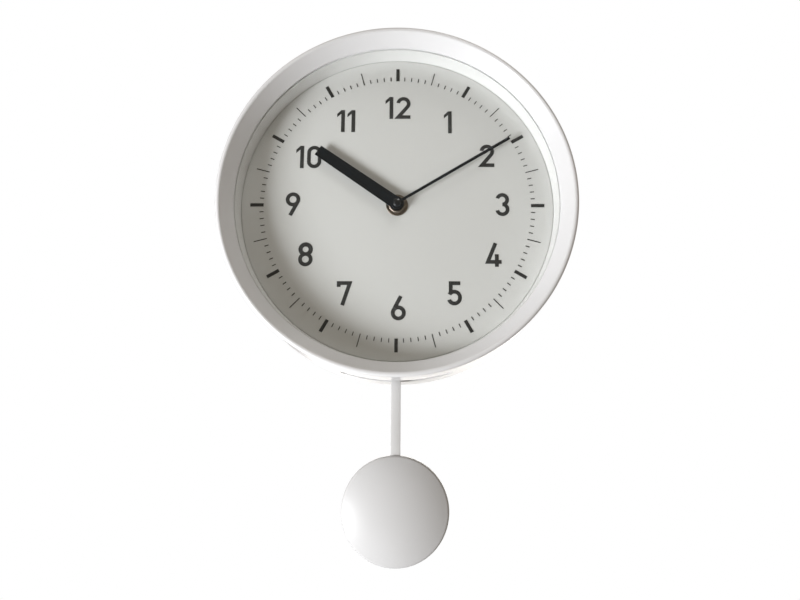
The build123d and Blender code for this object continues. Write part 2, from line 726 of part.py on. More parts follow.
# Screws through the plate's ears, put in from behind
with BuildPart() as support_plate_screws:
    with BuildSketch(facing(PLATE_BACK - SCREW_HEAD)):
        with Locations(*EARS_AT):
            Circle(SCREW_HEAD_R)
    extrude(amount=SCREW_HEAD)
    with BuildSketch(facing(PLATE_BACK)):
        with Locations(*EARS_AT):
            Circle(SCREW_R)
    extrude(amount=PLATE_THICK + SCREW_GRIP - SCREW_END)
    with BuildSketch(facing(PLATE_BACK - SCREW_HEAD)):
        with Locations(*EARS_AT):
            Rectangle(CROSS_WIDTH, CROSS_LENGTH)
            Rectangle(CROSS_LENGTH, CROSS_WIDTH)
    extrude(amount=CROSS_DEPTH, mode=Mode.SUBTRACT)
save(support_plate_screws, "support_plate_screws")

# Rear cover with a battery window, a setting-knob hole, a hanger opening and a stiffening rib
window_low = DRIVE_HIGH + WINDOW_MARGIN / 2
window_high = BAY_HIGH + WINDOW_MARGIN
with BuildPart() as rear_cover:
    with BuildSketch(facing(0)):
        Circle(COVER_R)
        with Locations((0, (window_low + window_high) / 2)):
            RectangleRounded(
                2 * HALF_WIDTH + WINDOW_MARGIN, window_high - window_low, MOVE_CORNER,
                mode=Mode.SUBTRACT,
            )
        with Locations(KNOB_AT):
            Circle(KNOB_R + KNOB_ROOM, mode=Mode.SUBTRACT)
        with Locations((0, HANGER_Z + (KEYHOLE_RISE + KEYHOLE_NECK_R - KEYHOLE_R) / 2)):
            RectangleRounded(
                2 * (KEYHOLE_R + HANGER_WINDOW),
                KEYHOLE_R + KEYHOLE_RISE + KEYHOLE_NECK_R + 2 * HANGER_WINDOW,
                HANGER_CORNER,
                mode=Mode.SUBTRACT,
            )
        with Locations(*COVER_SCREWS_AT):
            Circle(SCREW_R + FREE_GAP, mode=Mode.SUBTRACT)
        with Locations(*RIVETS_AT):
            Circle(RIVET_R, mode=Mode.SUBTRACT)
    extrude(amount=COVER_THICK)
    with BuildSketch(facing(0)):
        with Locations(*COVER_SCREWS_AT):
            Circle(SCREW_HEAD_R + HEAD_GAP)
        with Locations(*RIVETS_AT):
            Circle(RIVET_HEAD_R + HEAD_GAP)
    extrude(amount=HEAD_SINK, mode=Mode.SUBTRACT)
    with BuildSketch(facing(COVER_THICK)):
        Circle(COVER_R - RIB_INSET)
        Circle(COVER_R - RIB_INSET - RIB_WIDTH, mode=Mode.SUBTRACT)
    extrude(amount=RIB_HEIGHT)
save(rear_cover, "rear_cover")

with BuildPart() as rear_cover_screws:
    with BuildSketch(facing(HEAD_GAP)):
        with Locations(*COVER_SCREWS_AT):
            Circle(SCREW_HEAD_R)
    extrude(amount=HEAD_SINK - HEAD_GAP)
    with BuildSketch(facing(HEAD_SINK)):
        with Locations(*COVER_SCREWS_AT):
            Circle(SCREW_R)
    extrude(amount=COVER_THICK - HEAD_SINK + SCREW_GRIP - SCREW_END)
    with BuildSketch(facing(HEAD_GAP)):
        with Locations(*COVER_SCREWS_AT):
            Rectangle(CROSS_WIDTH, CROSS_LENGTH)
            Rectangle(CROSS_LENGTH, CROSS_WIDTH)
    extrude(amount=CROSS_DEPTH, mode=Mode.SUBTRACT)
save(rear_cover_screws, "rear_cover_screws")

# Steel hanger with a keyhole, riveted to the inside of the cover
with BuildPart() as hanger_plate:
    with BuildSketch(facing(COVER_THICK)):
        with Locations((0, HANGER_Z)):
            RectangleRounded(HANGER_WIDTH, HANGER_HEIGHT, HANGER_CORNER)
            Circle(KEYHOLE_R, mode=Mode.SUBTRACT)
        with Locations((0, HANGER_Z + KEYHOLE_RISE / 2)):
            Rectangle(2 * KEYHOLE_NECK_R, KEYHOLE_RISE, mode=Mode.SUBTRACT)
        with Locations((0, HANGER_Z + KEYHOLE_RISE)):
            Circle(KEYHOLE_NECK_R, mode=Mode.SUBTRACT)
        with Locations(*RIVETS_AT):
            Circle(RIVET_R, mode=Mode.SUBTRACT)
    extrude(amount=HANGER_THICK)
save(hanger_plate, "hanger_plate")

with BuildPart() as hanger_rivets:
    with BuildSketch(facing(HEAD_GAP)):
        with Locations(*RIVETS_AT):
            Circle(RIVET_HEAD_R)
    extrude(amount=HEAD_SINK - HEAD_GAP)
    with BuildSketch(facing(HEAD_SINK)):
        with Locations(*RIVETS_AT):
            Circle(RIVET_R)
    extrude(amount=COVER_THICK - HEAD_SINK + HANGER_THICK)
    with BuildSketch(facing(COVER_THICK + HANGER_THICK)):
        with Locations(*RIVETS_AT):
            Circle(RIVET_HEAD_R)
    extrude(amount=RIVET_HEAD)
save(hanger_rivets, "hanger_rivets")

# Movement, front shell: a shallow tray with the bearing holes
with BuildPart() as movement_front_housing:
    with BuildSketch(facing(MOVE_SPLIT, (0, MOVE_MIDDLE))):
        RectangleRounded(MOVE_WIDTH, MOVE_HEIGHT, MOVE_CORNER)
    extrude(amount=MOVE_FRONT - MOVE_SPLIT)
    with BuildSketch(facing(MOVE_SPLIT, (0, MOVE_MIDDLE))):
        RectangleRounded(2 * ROOM_HALF, MOVE_HEIGHT - 2 * MOVE_SIDE, MOVE_CORNER - MOVE_SIDE)
    extrude(amount=ROOM_FRONT - MOVE_SPLIT, mode=Mode.SUBTRACT)
    with BuildSketch(facing(MOVE_SPLIT)):
        Circle(BUSHING_R)
    extrude(amount=MOVE_FRONT - MOVE_SPLIT, mode=Mode.SUBTRACT)
    with BuildSketch(facing(ROOM_FRONT)):
        with Locations(MINUTE_WHEEL_AT, KNOB_AT):
            Circle(PIVOT_R + RUN_GAP)
    extrude(amount=PIVOT_IN + FREE_GAP, mode=Mode.SUBTRACT)
save(movement_front_housing, "movement_front_housing")

# Movement, rear shell: the gear room above, the open battery bay below
POST_X = ROOM_HALF - POST_R + RUN_GAP
POST_MIDDLE_Z = 9.0
POSTS_AT = [(side * POST_X, z) for z in (ROOM_LOW + POST_R, POST_MIDDLE_Z) for side in (-1, 1)]
POSTS_AT.append((POST_X, ROOM_HALF - POST_R))
STATOR_LEFT = -ROOM_HALF + STATOR_INSET
STATOR_HIGH = ROOM_HALF - STATOR_TOP
STATOR_POST_Z = STATOR_HIGH - CORE_HEIGHT / 2
STATOR_POSTS_AT = [(STATOR_LEFT + STATOR_LEG / 2, STATOR_POST_Z), (ROTOR_AT[0], STATOR_POST_Z)]
CORE_LOW = CORE_Z - CORE_HEIGHT / 2
BOARD_BACK = ROOM_BACK + BOARD_GAP
with BuildPart() as movement_rear_housing:
    with BuildSketch(facing(MOVE_BACK, (0, MOVE_MIDDLE))):
        RectangleRounded(MOVE_WIDTH, MOVE_HEIGHT, MOVE_CORNER)
    extrude(amount=MOVE_SPLIT - MOVE_BACK)
    with BuildSketch(facing(ROOM_BACK)):
        with Locations((0, (ROOM_LOW + ROOM_HALF) / 2)):
            Rectangle(2 * ROOM_HALF, ROOM_HALF - ROOM_LOW)
    extrude(amount=MOVE_SPLIT - ROOM_BACK, mode=Mode.SUBTRACT)
    with BuildSketch(facing(MOVE_BACK)):
        with Locations((0, CELL_Z)):
            Rectangle(2 * ROOM_HALF, BAY_HIGH - BAY_LOW)
    extrude(amount=MOVE_SPLIT - MOVE_BACK, mode=Mode.SUBTRACT)
    with BuildSketch(facing(MOVE_SPLIT)):
        with Locations((0, (BAY_HIGH + ROOM_LOW) / 2)):
            Rectangle(2 * (ROOM_HALF - BRIDGE_GAP), MOVE_SIDE)
    extrude(amount=ROOM_FRONT - MOVE_SPLIT - TOUCH_GAP)
    with BuildSketch(facing(ROOM_BACK)):
        with Locations(*POSTS_AT):
            Circle(POST_R)
    extrude(amount=BRIDGE_BACK - ROOM_BACK)
    with BuildSketch(facing(ROOM_BACK)):
        with Locations(*STATOR_POSTS_AT):
            Circle(STATOR_POST_R)
    extrude(amount=STATOR_BACK - ROOM_BACK)
    with BuildSketch(facing(ROOM_BACK)):
        with Locations(*BOARD_POSTS_AT):
            Circle(BOARD_POST_R)
    extrude(amount=BOARD_BACK - ROOM_BACK)
    with BuildSketch(facing(PIVOT_END - END_GAP)):
        with Locations(CENTRE, THIRD_AT, FOURTH_AT, FIFTH_AT, ROTOR_AT):
            Circle(PIVOT_R + RUN_GAP)
    extrude(amount=PIVOT_IN + FREE_GAP, mode=Mode.SUBTRACT)
    with BuildSketch(facing(MOVE_BACK)):
        with Locations(KNOB_AT):
            Circle(KNOB_SHAFT_R + RUN_GAP)
    extrude(amount=MOVE_WALL, mode=Mode.SUBTRACT)
save(movement_rear_housing, "movement_rear_housing")

# Bridge that carries the front ends of the train's arbors
with BuildPart() as train_bridge:
    with BuildSketch(facing(BRIDGE_BACK)):
        with Locations((0, (ROOM_LOW + ROOM_HALF) / 2)):
            Rectangle(2 * (ROOM_HALF - BRIDGE_GAP), ROOM_HALF - ROOM_LOW - 2 * BRIDGE_GAP)
        with Locations(THIRD_AT, FOURTH_AT, FIFTH_AT, ROTOR_AT, MINUTE_WHEEL_AT):
            Circle(PIVOT_R + RUN_GAP, mode=Mode.SUBTRACT)
        Circle(ARBOR_R + RUN_GAP, mode=Mode.SUBTRACT)
        with Locations(KNOB_AT):
            Circle(KNOB_SHAFT_R + RUN_GAP, mode=Mode.SUBTRACT)
    extrude(amount=BRIDGE_THICK)
save(train_bridge, "train_bridge")

# Threaded bushing, washer and nut that clamp the movement, plate and dial together
with BuildPart() as threaded_bushing:
    with BuildSketch(facing(ROOM_FRONT - BUSHING_FLANGE)):
        Circle(BUSHING_FLANGE_R)
    extrude(amount=BUSHING_FLANGE)
    with BuildSketch(facing(ROOM_FRONT)):
        Circle(BUSHING_R)
    extrude(amount=BUSHING_END - ROOM_FRONT)
    with BuildSketch(facing(ROOM_FRONT - BUSHING_FLANGE)):
        Circle(HOUR_TUBE_R + RUN_GAP)
    extrude(amount=BUSHING_END, mode=Mode.SUBTRACT)
save(threaded_bushing, "threaded_bushing")

with BuildPart() as dial_washer:
    with BuildSketch(facing(DIAL_FACE)):
        Circle(WASHER_R)
        Circle(BUSHING_R + BORE_GAP, mode=Mode.SUBTRACT)
    extrude(amount=WASHER_THICK)
save(dial_washer, "dial_washer")

with BuildPart() as fixing_nut:
    with BuildSketch(facing(DIAL_FACE + WASHER_THICK)):
        Circle(NUT_R)
        Circle(BUSHING_R, mode=Mode.SUBTRACT)
    extrude(amount=NUT_THICK)
    chamfer(fixing_nut.faces().sort_by(Axis.Y)[0].edges().sort_by(SortBy.RADIUS)[-1], NUT_EDGE)
    with BuildSketch(facing(DIAL_FACE + WASHER_THICK + NUT_THICK - NOTCH_DEPTH)):
        Rectangle(2 * NUT_R + 1, NOTCH_WIDTH)
    extrude(amount=NUT_THICK, mode=Mode.SUBTRACT)
save(fixing_nut, "fixing_nut")

# Minute arbor: rear pivot, shaft, cannon pinion and the tube that carries the minute hand
cannon_phase = 0.0
cannon_front = MOTION_BACK + CANNON_LENGTH
with BuildPart() as minute_arbor:
    with BuildSketch(facing(PIVOT_END)):
        Circle(PIVOT_R)
    extrude(amount=ROOM_BACK + FREE_GAP - PIVOT_END)
    with BuildSketch(facing(ROOM_BACK + FREE_GAP)):
        Circle(ARBOR_R)
    extrude(amount=MOTION_BACK - ROOM_BACK - FREE_GAP)
    with BuildSketch(facing(MOTION_BACK)):
        toothed_disc(CANNON_TEETH, MOTION_MODULE, cannon_phase)
    extrude(amount=cannon_front - MOTION_BACK)
    with BuildSketch(facing(cannon_front)):
        Circle(HOUR_TUBE_BORE - RUN_GAP)
    extrude(amount=MINUTE_HAND_BACK - cannon_front)
    with BuildSketch(facing(MINUTE_HAND_BACK)):
        Circle(MINUTE_SEAT_R)
    extrude(amount=HAND_THICK + CAP_SEAT)
save(minute_arbor, "minute_arbor")

# Minute wheel with its pinion, beside the arbor
minute_wheel_phase = next_phase(cannon_phase, CANNON_TEETH, 180, MINUTE_WHEEL_TEETH)
minute_pinion_phase = 0.0
minute_wheel_back = MOTION_BACK + END_GAP
with BuildPart() as minute_wheel:
    with BuildSketch(facing(MOVE_SPLIT - PIVOT_IN, MINUTE_WHEEL_AT)):
        Circle(PIVOT_R)
    extrude(amount=ROOM_FRONT - MOVE_SPLIT + 2 * PIVOT_IN)
    with BuildSketch(facing(minute_wheel_back, MINUTE_WHEEL_AT)):
        toothed_disc(MINUTE_WHEEL_TEETH, MOTION_MODULE, minute_wheel_phase)
    extrude(amount=MINUTE_WHEEL_THICK)
    with BuildSketch(facing(minute_wheel_back + MINUTE_WHEEL_THICK, MINUTE_WHEEL_AT)):
        toothed_disc(MINUTE_PINION_TEETH, HOUR_MODULE, minute_pinion_phase)
    extrude(amount=MINUTE_PINION_LENGTH)
save(minute_wheel, "minute_wheel")

# Hour wheel with the tube that carries the hour hand
hour_phase = next_phase(minute_pinion_phase, MINUTE_PINION_TEETH, 0, HOUR_WHEEL_TEETH)
with BuildPart() as hour_wheel:
    with BuildSketch(facing(HOUR_LAYER)):
        toothed_disc(HOUR_WHEEL_TEETH, HOUR_MODULE, hour_phase)
    extrude(amount=HOUR_WHEEL_THICK)
    with BuildSketch(facing(HOUR_LAYER)):
        Circle(HOUR_TUBE_R)
    extrude(amount=HOUR_TUBE_END - HOUR_LAYER)
    with BuildSketch(facing(HOUR_LAYER)):
        Circle(HOUR_TUBE_BORE)
    extrude(amount=HOUR_TUBE_END - HOUR_LAYER, mode=Mode.SUBTRACT)
save(hour_wheel, "hour_wheel")

# Setting knob: ribbed head behind the movement, shaft and pinion in mesh with the minute wheel
knob_phase = next_phase(minute_wheel_phase, MINUTE_WHEEL_TEETH, 90, CANNON_TEETH)
knob_front = MOVE_BACK - KNOB_GAP
with BuildPart() as set_knob:
    with BuildSketch(facing(knob_front - KNOB_THICK, KNOB_AT)):
        Circle(KNOB_R)
        with PolarLocations(KNOB_R, KNOB_RIBS):
            Circle(KNOB_GROOVE_R, mode=Mode.SUBTRACT)
    extrude(amount=KNOB_THICK)
    with BuildSketch(facing(knob_front, KNOB_AT)):
        Circle(KNOB_SHAFT_R)
    extrude(amount=MOTION_BACK - knob_front)
    with BuildSketch(facing(MOTION_BACK, KNOB_AT)):
        toothed_disc(CANNON_TEETH, MOTION_MODULE, knob_phase)
    extrude(amount=CANNON_LENGTH)
    with BuildSketch(facing(cannon_front, KNOB_AT)):
        Circle(PIVOT_R)
    extrude(amount=ROOM_FRONT + PIVOT_IN - cannon_front)
save(set_knob, "set_knob")

# Going train: each wheel is a disc and a pinion on one thin arbor
centre_phase = 0.0
third_pinion_phase = next_phase(centre_phase, CENTRE_TEETH, TO_THIRD, SMALL_PINION_TEETH)
fourth_pinion_phase = next_phase(third_pinion_phase, THIRD_TEETH, TO_FOURTH, SMALL_PINION_TEETH)
fifth_pinion_phase = next_phase(
    fourth_pinion_phase, FOURTH_TEETH, TO_FIFTH, FIFTH_PINION_TEETH
)
rotor_pinion_phase = next_phase(
    fifth_pinion_phase, FIFTH_TEETH, TO_ROTOR, SMALL_PINION_TEETH
)

with BuildPart() as centre_wheel:
    with BuildSketch(facing(CENTRE_LAYER)):
        toothed_disc(CENTRE_TEETH, TRAIN_MODULE, centre_phase)
    extrude(amount=WHEEL_THICK)
    with BuildSketch(facing(CENTRE_LAYER - CENTRE_HUB)):
        Circle(CENTRE_HUB_R)
    extrude(amount=WHEEL_THICK + CENTRE_HUB + FREE_GAP)
    with BuildSketch(facing(CENTRE_LAYER - CENTRE_HUB)):
        Circle(ARBOR_R + RUN_GAP)
    extrude(amount=WHEEL_THICK + CENTRE_HUB + FREE_GAP, mode=Mode.SUBTRACT)
save(centre_wheel, "centre_wheel")


def train_wheel(at, wheel_layer, wheel_teeth, pinion_layer, pinion_teeth, phase):
    """Arbor, wheel and pinion about one axis, in the part that is open."""
    with BuildSketch(facing(PIVOT_END, at)) as arbor:
        Circle(PIVOT_R)
    extrude(arbor.sketch, amount=BRIDGE_BACK + PIVOT_IN - PIVOT_END)
    with BuildSketch(facing(wheel_layer, at)) as wheel:
        toothed_disc(wheel_teeth, TRAIN_MODULE, phase)
    extrude(wheel.sketch, amount=WHEEL_THICK)
    with BuildSketch(facing(pinion_layer - END_GAP, at)) as pinion:
        toothed_disc(pinion_teeth, TRAIN_MODULE, phase)
    extrude(pinion.sketch, amount=WHEEL_THICK + 2 * END_GAP)


with BuildPart() as third_wheel:
    train_wheel(THIRD_AT, THIRD_LAYER, THIRD_TEETH, CENTRE_LAYER, SMALL_PINION_TEETH,
                third_pinion_phase)
save(third_wheel, "third_wheel")

with BuildPart() as fourth_wheel:
    train_wheel(FOURTH_AT, FOURTH_LAYER, FOURTH_TEETH, THIRD_LAYER, SMALL_PINION_TEETH,
                fourth_pinion_phase)
save(fourth_wheel, "fourth_wheel")

with BuildPart() as fifth_wheel:
    train_wheel(FIFTH_AT, FIFTH_LAYER, FIFTH_TEETH, FOURTH_LAYER, FIFTH_PINION_TEETH,
                fifth_pinion_phase)
save(fifth_wheel, "fifth_wheel")

# Rotor of the stepping motor: a disc magnet and a pinion on one arbor
with BuildPart() as rotor:
    with BuildSketch(facing(PIVOT_END, ROTOR_AT)):
        Circle(PIVOT_R)
    extrude(amount=BRIDGE_BACK + PIVOT_IN - PIVOT_END)
    with BuildSketch(facing(FIFTH_LAYER - END_GAP, ROTOR_AT)):
        toothed_disc(SMALL_PINION_TEETH, TRAIN_MODULE, rotor_pinion_phase)
    extrude(amount=WHEEL_THICK + 2 * END_GAP)
    with BuildSketch(facing(STATOR_BACK - FREE_GAP, ROTOR_AT)):
        Circle(ROTOR_R)
    extrude(amount=STATOR_THICK + 2 * FREE_GAP)
save(rotor, "rotor")

# Stator: a flat loop of soft iron around the rotor, with the coil on its lower leg
with BuildPart() as stator:
    with BuildSketch(facing(STATOR_BACK)):
        with Locations(ROTOR_AT):
            Circle(ROTOR_R + AIR_GAP + STATOR_RING)
        with Locations(((STATOR_LEFT + ROTOR_AT[0]) / 2, CORE_Z)):
            Rectangle(ROTOR_AT[0] - STATOR_LEFT, CORE_HEIGHT)
        with Locations(((STATOR_LEFT + ROTOR_AT[0] + STATOR_LEG / 2) / 2, STATOR_POST_Z)):
            Rectangle(ROTOR_AT[0] + STATOR_LEG / 2 - STATOR_LEFT, CORE_HEIGHT)
        with Locations((STATOR_LEFT + STATOR_LEG / 2, (CORE_LOW + STATOR_HIGH) / 2)):
            Rectangle(STATOR_LEG, STATOR_HIGH - CORE_LOW)
        with Locations((ROTOR_AT[0], (ROTOR_AT[1] + STATOR_HIGH) / 2)):
            Rectangle(STATOR_LEG, STATOR_HIGH - ROTOR_AT[1])
        with Locations(ROTOR_AT):
            Circle(ROTOR_R + AIR_GAP, mode=Mode.SUBTRACT)
    extrude(amount=STATOR_THICK)
save(stator, "stator")

coil_depth = STATOR_BACK + STATOR_THICK / 2
coil_plane = Plane(
    origin=(COIL_RIGHT - COIL_LENGTH, -coil_depth, CORE_Z), x_dir=(0, 1, 0), z_dir=(1, 0, 0)
)
with BuildPart() as motor_coil:
    with BuildSketch(coil_plane):
        Circle(COIL_R)
    extrude(amount=COIL_FLANGE)
    with BuildSketch(coil_plane.offset(COIL_FLANGE)):
        Circle(COIL_R - COIL_STEP)
    extrude(amount=COIL_LENGTH - 2 * COIL_FLANGE)
    with BuildSketch(coil_plane.offset(COIL_LENGTH - COIL_FLANGE)):
        Circle(COIL_R)
    extrude(amount=COIL_FLANGE)
    with BuildSketch(coil_plane):
        Rectangle(STATOR_THICK, CORE_HEIGHT)
    extrude(amount=COIL_LENGTH, mode=Mode.SUBTRACT)
save(motor_coil, "motor_coil")

# Timing board and its crystal
with BuildPart() as circuit_board:
    with BuildSketch(facing(BOARD_BACK, BOARD_AT)):
        Rectangle(BOARD_WIDTH, BOARD_HEIGHT)
    extrude(amount=BOARD_THICK)
    with BuildSketch(facing(BOARD_BACK + BOARD_THICK, CHIP_AT)):
        Circle(CHIP_R)
    extrude(amount=CHIP_THICK)
save(circuit_board, "circuit_board")

with BuildPart() as quartz_crystal:
    crystal_depth = BOARD_BACK + BOARD_THICK + CRYSTAL_R
    crystal_end = (CRYSTAL_AT[0], -crystal_depth, CRYSTAL_AT[1])
    with BuildSketch(Plane(origin=crystal_end, x_dir=(0, 1, 0), z_dir=(1, 0, 0))):
        Circle(CRYSTAL_R)
    extrude(amount=CRYSTAL_LENGTH)
save(quartz_crystal, "quartz_crystal")

# Battery and its two leaf contacts
cell_left = -(CELL_BODY + CELL_NUB) / 2
cell_plane = Plane(origin=(cell_left, -CELL_DEPTH, CELL_Z), x_dir=(0, 1, 0), z_dir=(1, 0, 0))
with BuildPart() as battery_aa:
    with BuildSketch(cell_plane):
        Circle(CELL_R)
    extrude(amount=CELL_BODY)
    fillet(battery_aa.edges().filter_by(GeomType.CIRCLE), CELL_EDGE)
    with BuildSketch(cell_plane.offset(CELL_BODY)):
        Circle(CELL_NUB_R)
    extrude(amount=CELL_NUB)
save(battery_aa, "battery_aa")


def leaf_contact(tip_x, wall_x):
    """A bent strip between a battery end and the end wall of the bay, drawn from above."""
    side = 1 if wall_x > tip_x else -1
    inner = wall_x - side * CONTACT_THICK
    tip = tip_x + side * CONTACT_THICK
    low = CELL_DEPTH - CONTACT_BACK
    short = low + CONTACT_SHORT
    high = CELL_DEPTH + CONTACT_FRONT
    with BuildSketch(Plane.XY.offset(CELL_Z - CONTACT_WIDTH / 2)) as strip:
        with BuildLine() as outline:
            Polyline(
                (wall_x, -low), (wall_x, -high), (tip_x, -high), (tip_x, -short),
                (tip, -short), (tip, -high + CONTACT_THICK),
                (inner, -high + CONTACT_THICK), (inner, -low), close=True,
            )
        make_face(outline.edges())
    extrude(strip.sketch, amount=CONTACT_WIDTH)


with BuildPart() as positive_contact:
    leaf_contact(-cell_left + TOUCH_GAP, ROOM_HALF)
save(positive_contact, "positive_contact")

with BuildPart() as negative_contact:
    leaf_contact(cell_left - TOUCH_GAP, -ROOM_HALF)
save(negative_contact, "negative_contact")

# Hands and the cap that closes the middle of the minute hand
with BuildPart() as hour_hand:
    with BuildSketch(hand_plane(HOUR_HAND_BACK, HOUR_ANGLE)):
        with BuildLine():
            hour_length = NUMERAL_R - HOUR_TIP_INSET
            Polyline(
                (0, HOUR_ROOT_WIDTH / 2),
                (hour_length, HOUR_TIP_WIDTH / 2),
                (hour_length, -HOUR_TIP_WIDTH / 2),
                (0, -HOUR_ROOT_WIDTH / 2),
                close=True,
            )
        make_face()
        Circle(HOUR_HUB_R)
        Circle(HOUR_TUBE_R, mode=Mode.SUBTRACT)
    extrude(amount=HAND_THICK)
save(hour_hand, "hour_hand")

with BuildPart() as minute_hand:
    with BuildSketch(hand_plane(MINUTE_HAND_BACK, MINUTE_ANGLE)):
        with BuildLine():
            minute_length = TRACK_R - MINUTE_TIP_INSET
            Polyline(
                (0, MINUTE_ROOT_WIDTH / 2),
                (minute_length, MINUTE_TIP_WIDTH / 2),
                (minute_length, -MINUTE_TIP_WIDTH / 2),
                (0, -MINUTE_ROOT_WIDTH / 2),
                close=True,
            )
        make_face()
        Circle(MINUTE_HUB_R)
        Circle(MINUTE_SEAT_R, mode=Mode.SUBTRACT)
    extrude(amount=HAND_THICK)
save(minute_hand, "minute_hand")

with BuildPart() as minute_hand_cap:
    with BuildSketch(facing(MINUTE_HAND_FRONT)):
        Circle(CAP_R)
    extrude(amount=CAP_HEIGHT)
    fillet(minute_hand_cap.faces().sort_by(Axis.Y)[0].edges(), CAP_EDGE)
    with BuildSketch(facing(MINUTE_HAND_FRONT)):
        Circle(MINUTE_SEAT_R)
    extrude(amount=CAP_SEAT, mode=Mode.SUBTRACT)
save(minute_hand_cap, "minute_hand_cap")

# Pendulum drive: a box on two legs that stand on the support plate, with a lid behind
with BuildPart() as pendulum_drive_housing:
    with BuildSketch(facing(DRIVE_BACK + DRIVE_WALL)):
        with Locations((0, DRIVE_Z)):
            Rectangle(DRIVE_WIDTH, DRIVE_HEIGHT)
    extrude(amount=DRIVE_DEPTH - DRIVE_WALL)
    with BuildSketch(facing(DRIVE_BACK + DRIVE_WALL)):
        with Locations((0, DRIVE_Z)):
            Rectangle(DRIVE_WIDTH - 2 * DRIVE_WALL, DRIVE_HEIGHT - 2 * DRIVE_WALL)
    extrude(amount=DRIVE_DEPTH - 2 * DRIVE_WALL, mode=Mode.SUBTRACT)
    with BuildSketch(facing(LEG_BACK)):
        with Locations(*LEGS_AT):
            Rectangle(LEG_WIDTH, LEG_HEIGHT)
    extrude(amount=PLATE_BACK - LEG_BACK)
    with BuildSketch(facing(LEG_BACK)):
        with Locations(*LEGS_AT):
            Circle(SCREW_R)
    extrude(amount=PLATE_BACK - LEG_BACK, mode=Mode.SUBTRACT)
    with BuildSketch(facing(DRIVE_FRONT - DRIVE_WALL)):
        with Locations(PIVOT_AT):
            Circle(PIN_R)
    extrude(amount=DRIVE_WALL, mode=Mode.SUBTRACT)
save(pendulum_drive_housing, "pendulum_drive_housing")

with BuildPart() as pendulum_drive_cover:
    with BuildSketch(facing(DRIVE_BACK)):
        with Locations((0, DRIVE_Z)):
            RectangleRounded(DRIVE_WIDTH, DRIVE_HEIGHT, DRIVE_CORNER)
    extrude(amount=DRIVE_WALL)
save(pendulum_drive_cover, "pendulum_drive_cover")

with BuildPart() as drive_board:
    board_inset = DRIVE_WALL + DRIVE_BOARD_GAP
    with BuildSketch(facing(DRIVE_BACK + DRIVE_WALL, (0, DRIVE_Z))):
        Rectangle(DRIVE_WIDTH - 2 * board_inset, DRIVE_HEIGHT - 2 * board_inset)
    extrude(amount=DRIVE_BOARD_THICK)
save(drive_board, "drive_board")

with BuildPart() as drive_coil:
    with BuildSketch(facing(DRIVE_BACK + DRIVE_WALL + DRIVE_BOARD_THICK, MAGNET_AT)):
        Circle(DRIVE_COIL_R)
        Circle(DRIVE_COIL_BORE, mode=Mode.SUBTRACT)
    extrude(amount=DRIVE_DEPTH - 2 * DRIVE_WALL - DRIVE_BOARD_THICK)
save(drive_coil, "drive_coil")

with BuildPart() as drive_screws:
    with BuildSketch(facing(LEG_BACK - SCREW_HEAD)):
        with Locations(*LEGS_AT):
            Circle(SCREW_HEAD_R)
    extrude(amount=SCREW_HEAD)
    with BuildSketch(facing(LEG_BACK)):
        with Locations(*LEGS_AT):
            Circle(SCREW_R)
    extrude(amount=PLATE_FRONT - THROUGH_GAP - LEG_BACK)
    with BuildSketch(facing(LEG_BACK - SCREW_HEAD)):
        with Locations(*LEGS_AT):
            Rectangle(CROSS_WIDTH, CROSS_LENGTH)
            Rectangle(CROSS_LENGTH, CROSS_WIDTH)
    extrude(amount=CROSS_DEPTH, mode=Mode.SUBTRACT)
save(drive_screws, "drive_screws")

# Two short leads from the battery bay to the drive
with BuildPart() as lead_wires:
    with BuildSketch(Plane.XY.offset(DRIVE_HIGH)):
        with Locations((-LEAD_X, -LEAD_DEPTH), (LEAD_X, -LEAD_DEPTH)):
            Circle(LEAD_R)
    extrude(amount=DRIVE_TOP)
save(lead_wires, "lead_wires")

# Pin on which the pendulum's leader swings, and the clip on its end
HUB_FRONT = ROD_FRONT + HUB_END
HUB_BACK = DRIVE_FRONT + HUB_GAP
PIN_FRONT = HUB_FRONT + FREE_GAP + PIN_END
with BuildPart() as leader_pivot_pin:
    with BuildSketch(facing(DRIVE_FRONT - DRIVE_WALL, PIVOT_AT)):
        Circle(PIN_R)
    extrude(amount=PIN_FRONT - DRIVE_FRONT + DRIVE_WALL)
save(leader_pivot_pin, "leader_pivot_pin")

with BuildPart() as pivot_clip:
    with BuildSketch(facing(HUB_FRONT + FREE_GAP, PIVOT_AT)):
        Circle(CLIP_R)
        Circle(PIN_R, mode=Mode.SUBTRACT)
    extrude(amount=CLIP_THICK)
save(pivot_clip, "pivot_clip")

# Leader: hub, strip and hook stud
with BuildPart() as pendulum_leader:
    with BuildSketch(facing(HUB_BACK, PIVOT_AT)):
        Circle(LEADER_HUB_R)
    extrude(amount=HUB_FRONT - HUB_BACK)
    with BuildSketch(facing(LEADER_BACK, PIVOT_AT)):
        Circle(LEADER_WIDTH / 2)
        with Locations((0, -LEADER_LENGTH / 2)):
            Rectangle(LEADER_WIDTH, LEADER_LENGTH)
    extrude(amount=LEADER_THICK)
    with BuildSketch(facing(LEADER_FRONT, HOOK_AT)):
        Circle(HOOK_R)
    extrude(amount=ROD_THICK + THROUGH_GAP)
    with BuildSketch(facing(ROD_FRONT + THROUGH_GAP, HOOK_AT)):
        Circle(HOOK_HEAD_R)
    extrude(amount=HOOK_HEAD)
    with BuildSketch(facing(HUB_BACK, PIVOT_AT)):
        Circle(PIN_R + RUN_GAP)
    extrude(amount=HUB_FRONT - HUB_BACK, mode=Mode.SUBTRACT)
save(pendulum_leader, "pendulum_leader")

with BuildPart() as drive_magnet:
    with BuildSketch(facing(LEADER_BACK - MAGNET_THICK, MAGNET_AT)):
        Circle(MAGNET_R)
    extrude(amount=MAGNET_THICK)
save(drive_magnet, "drive_magnet")

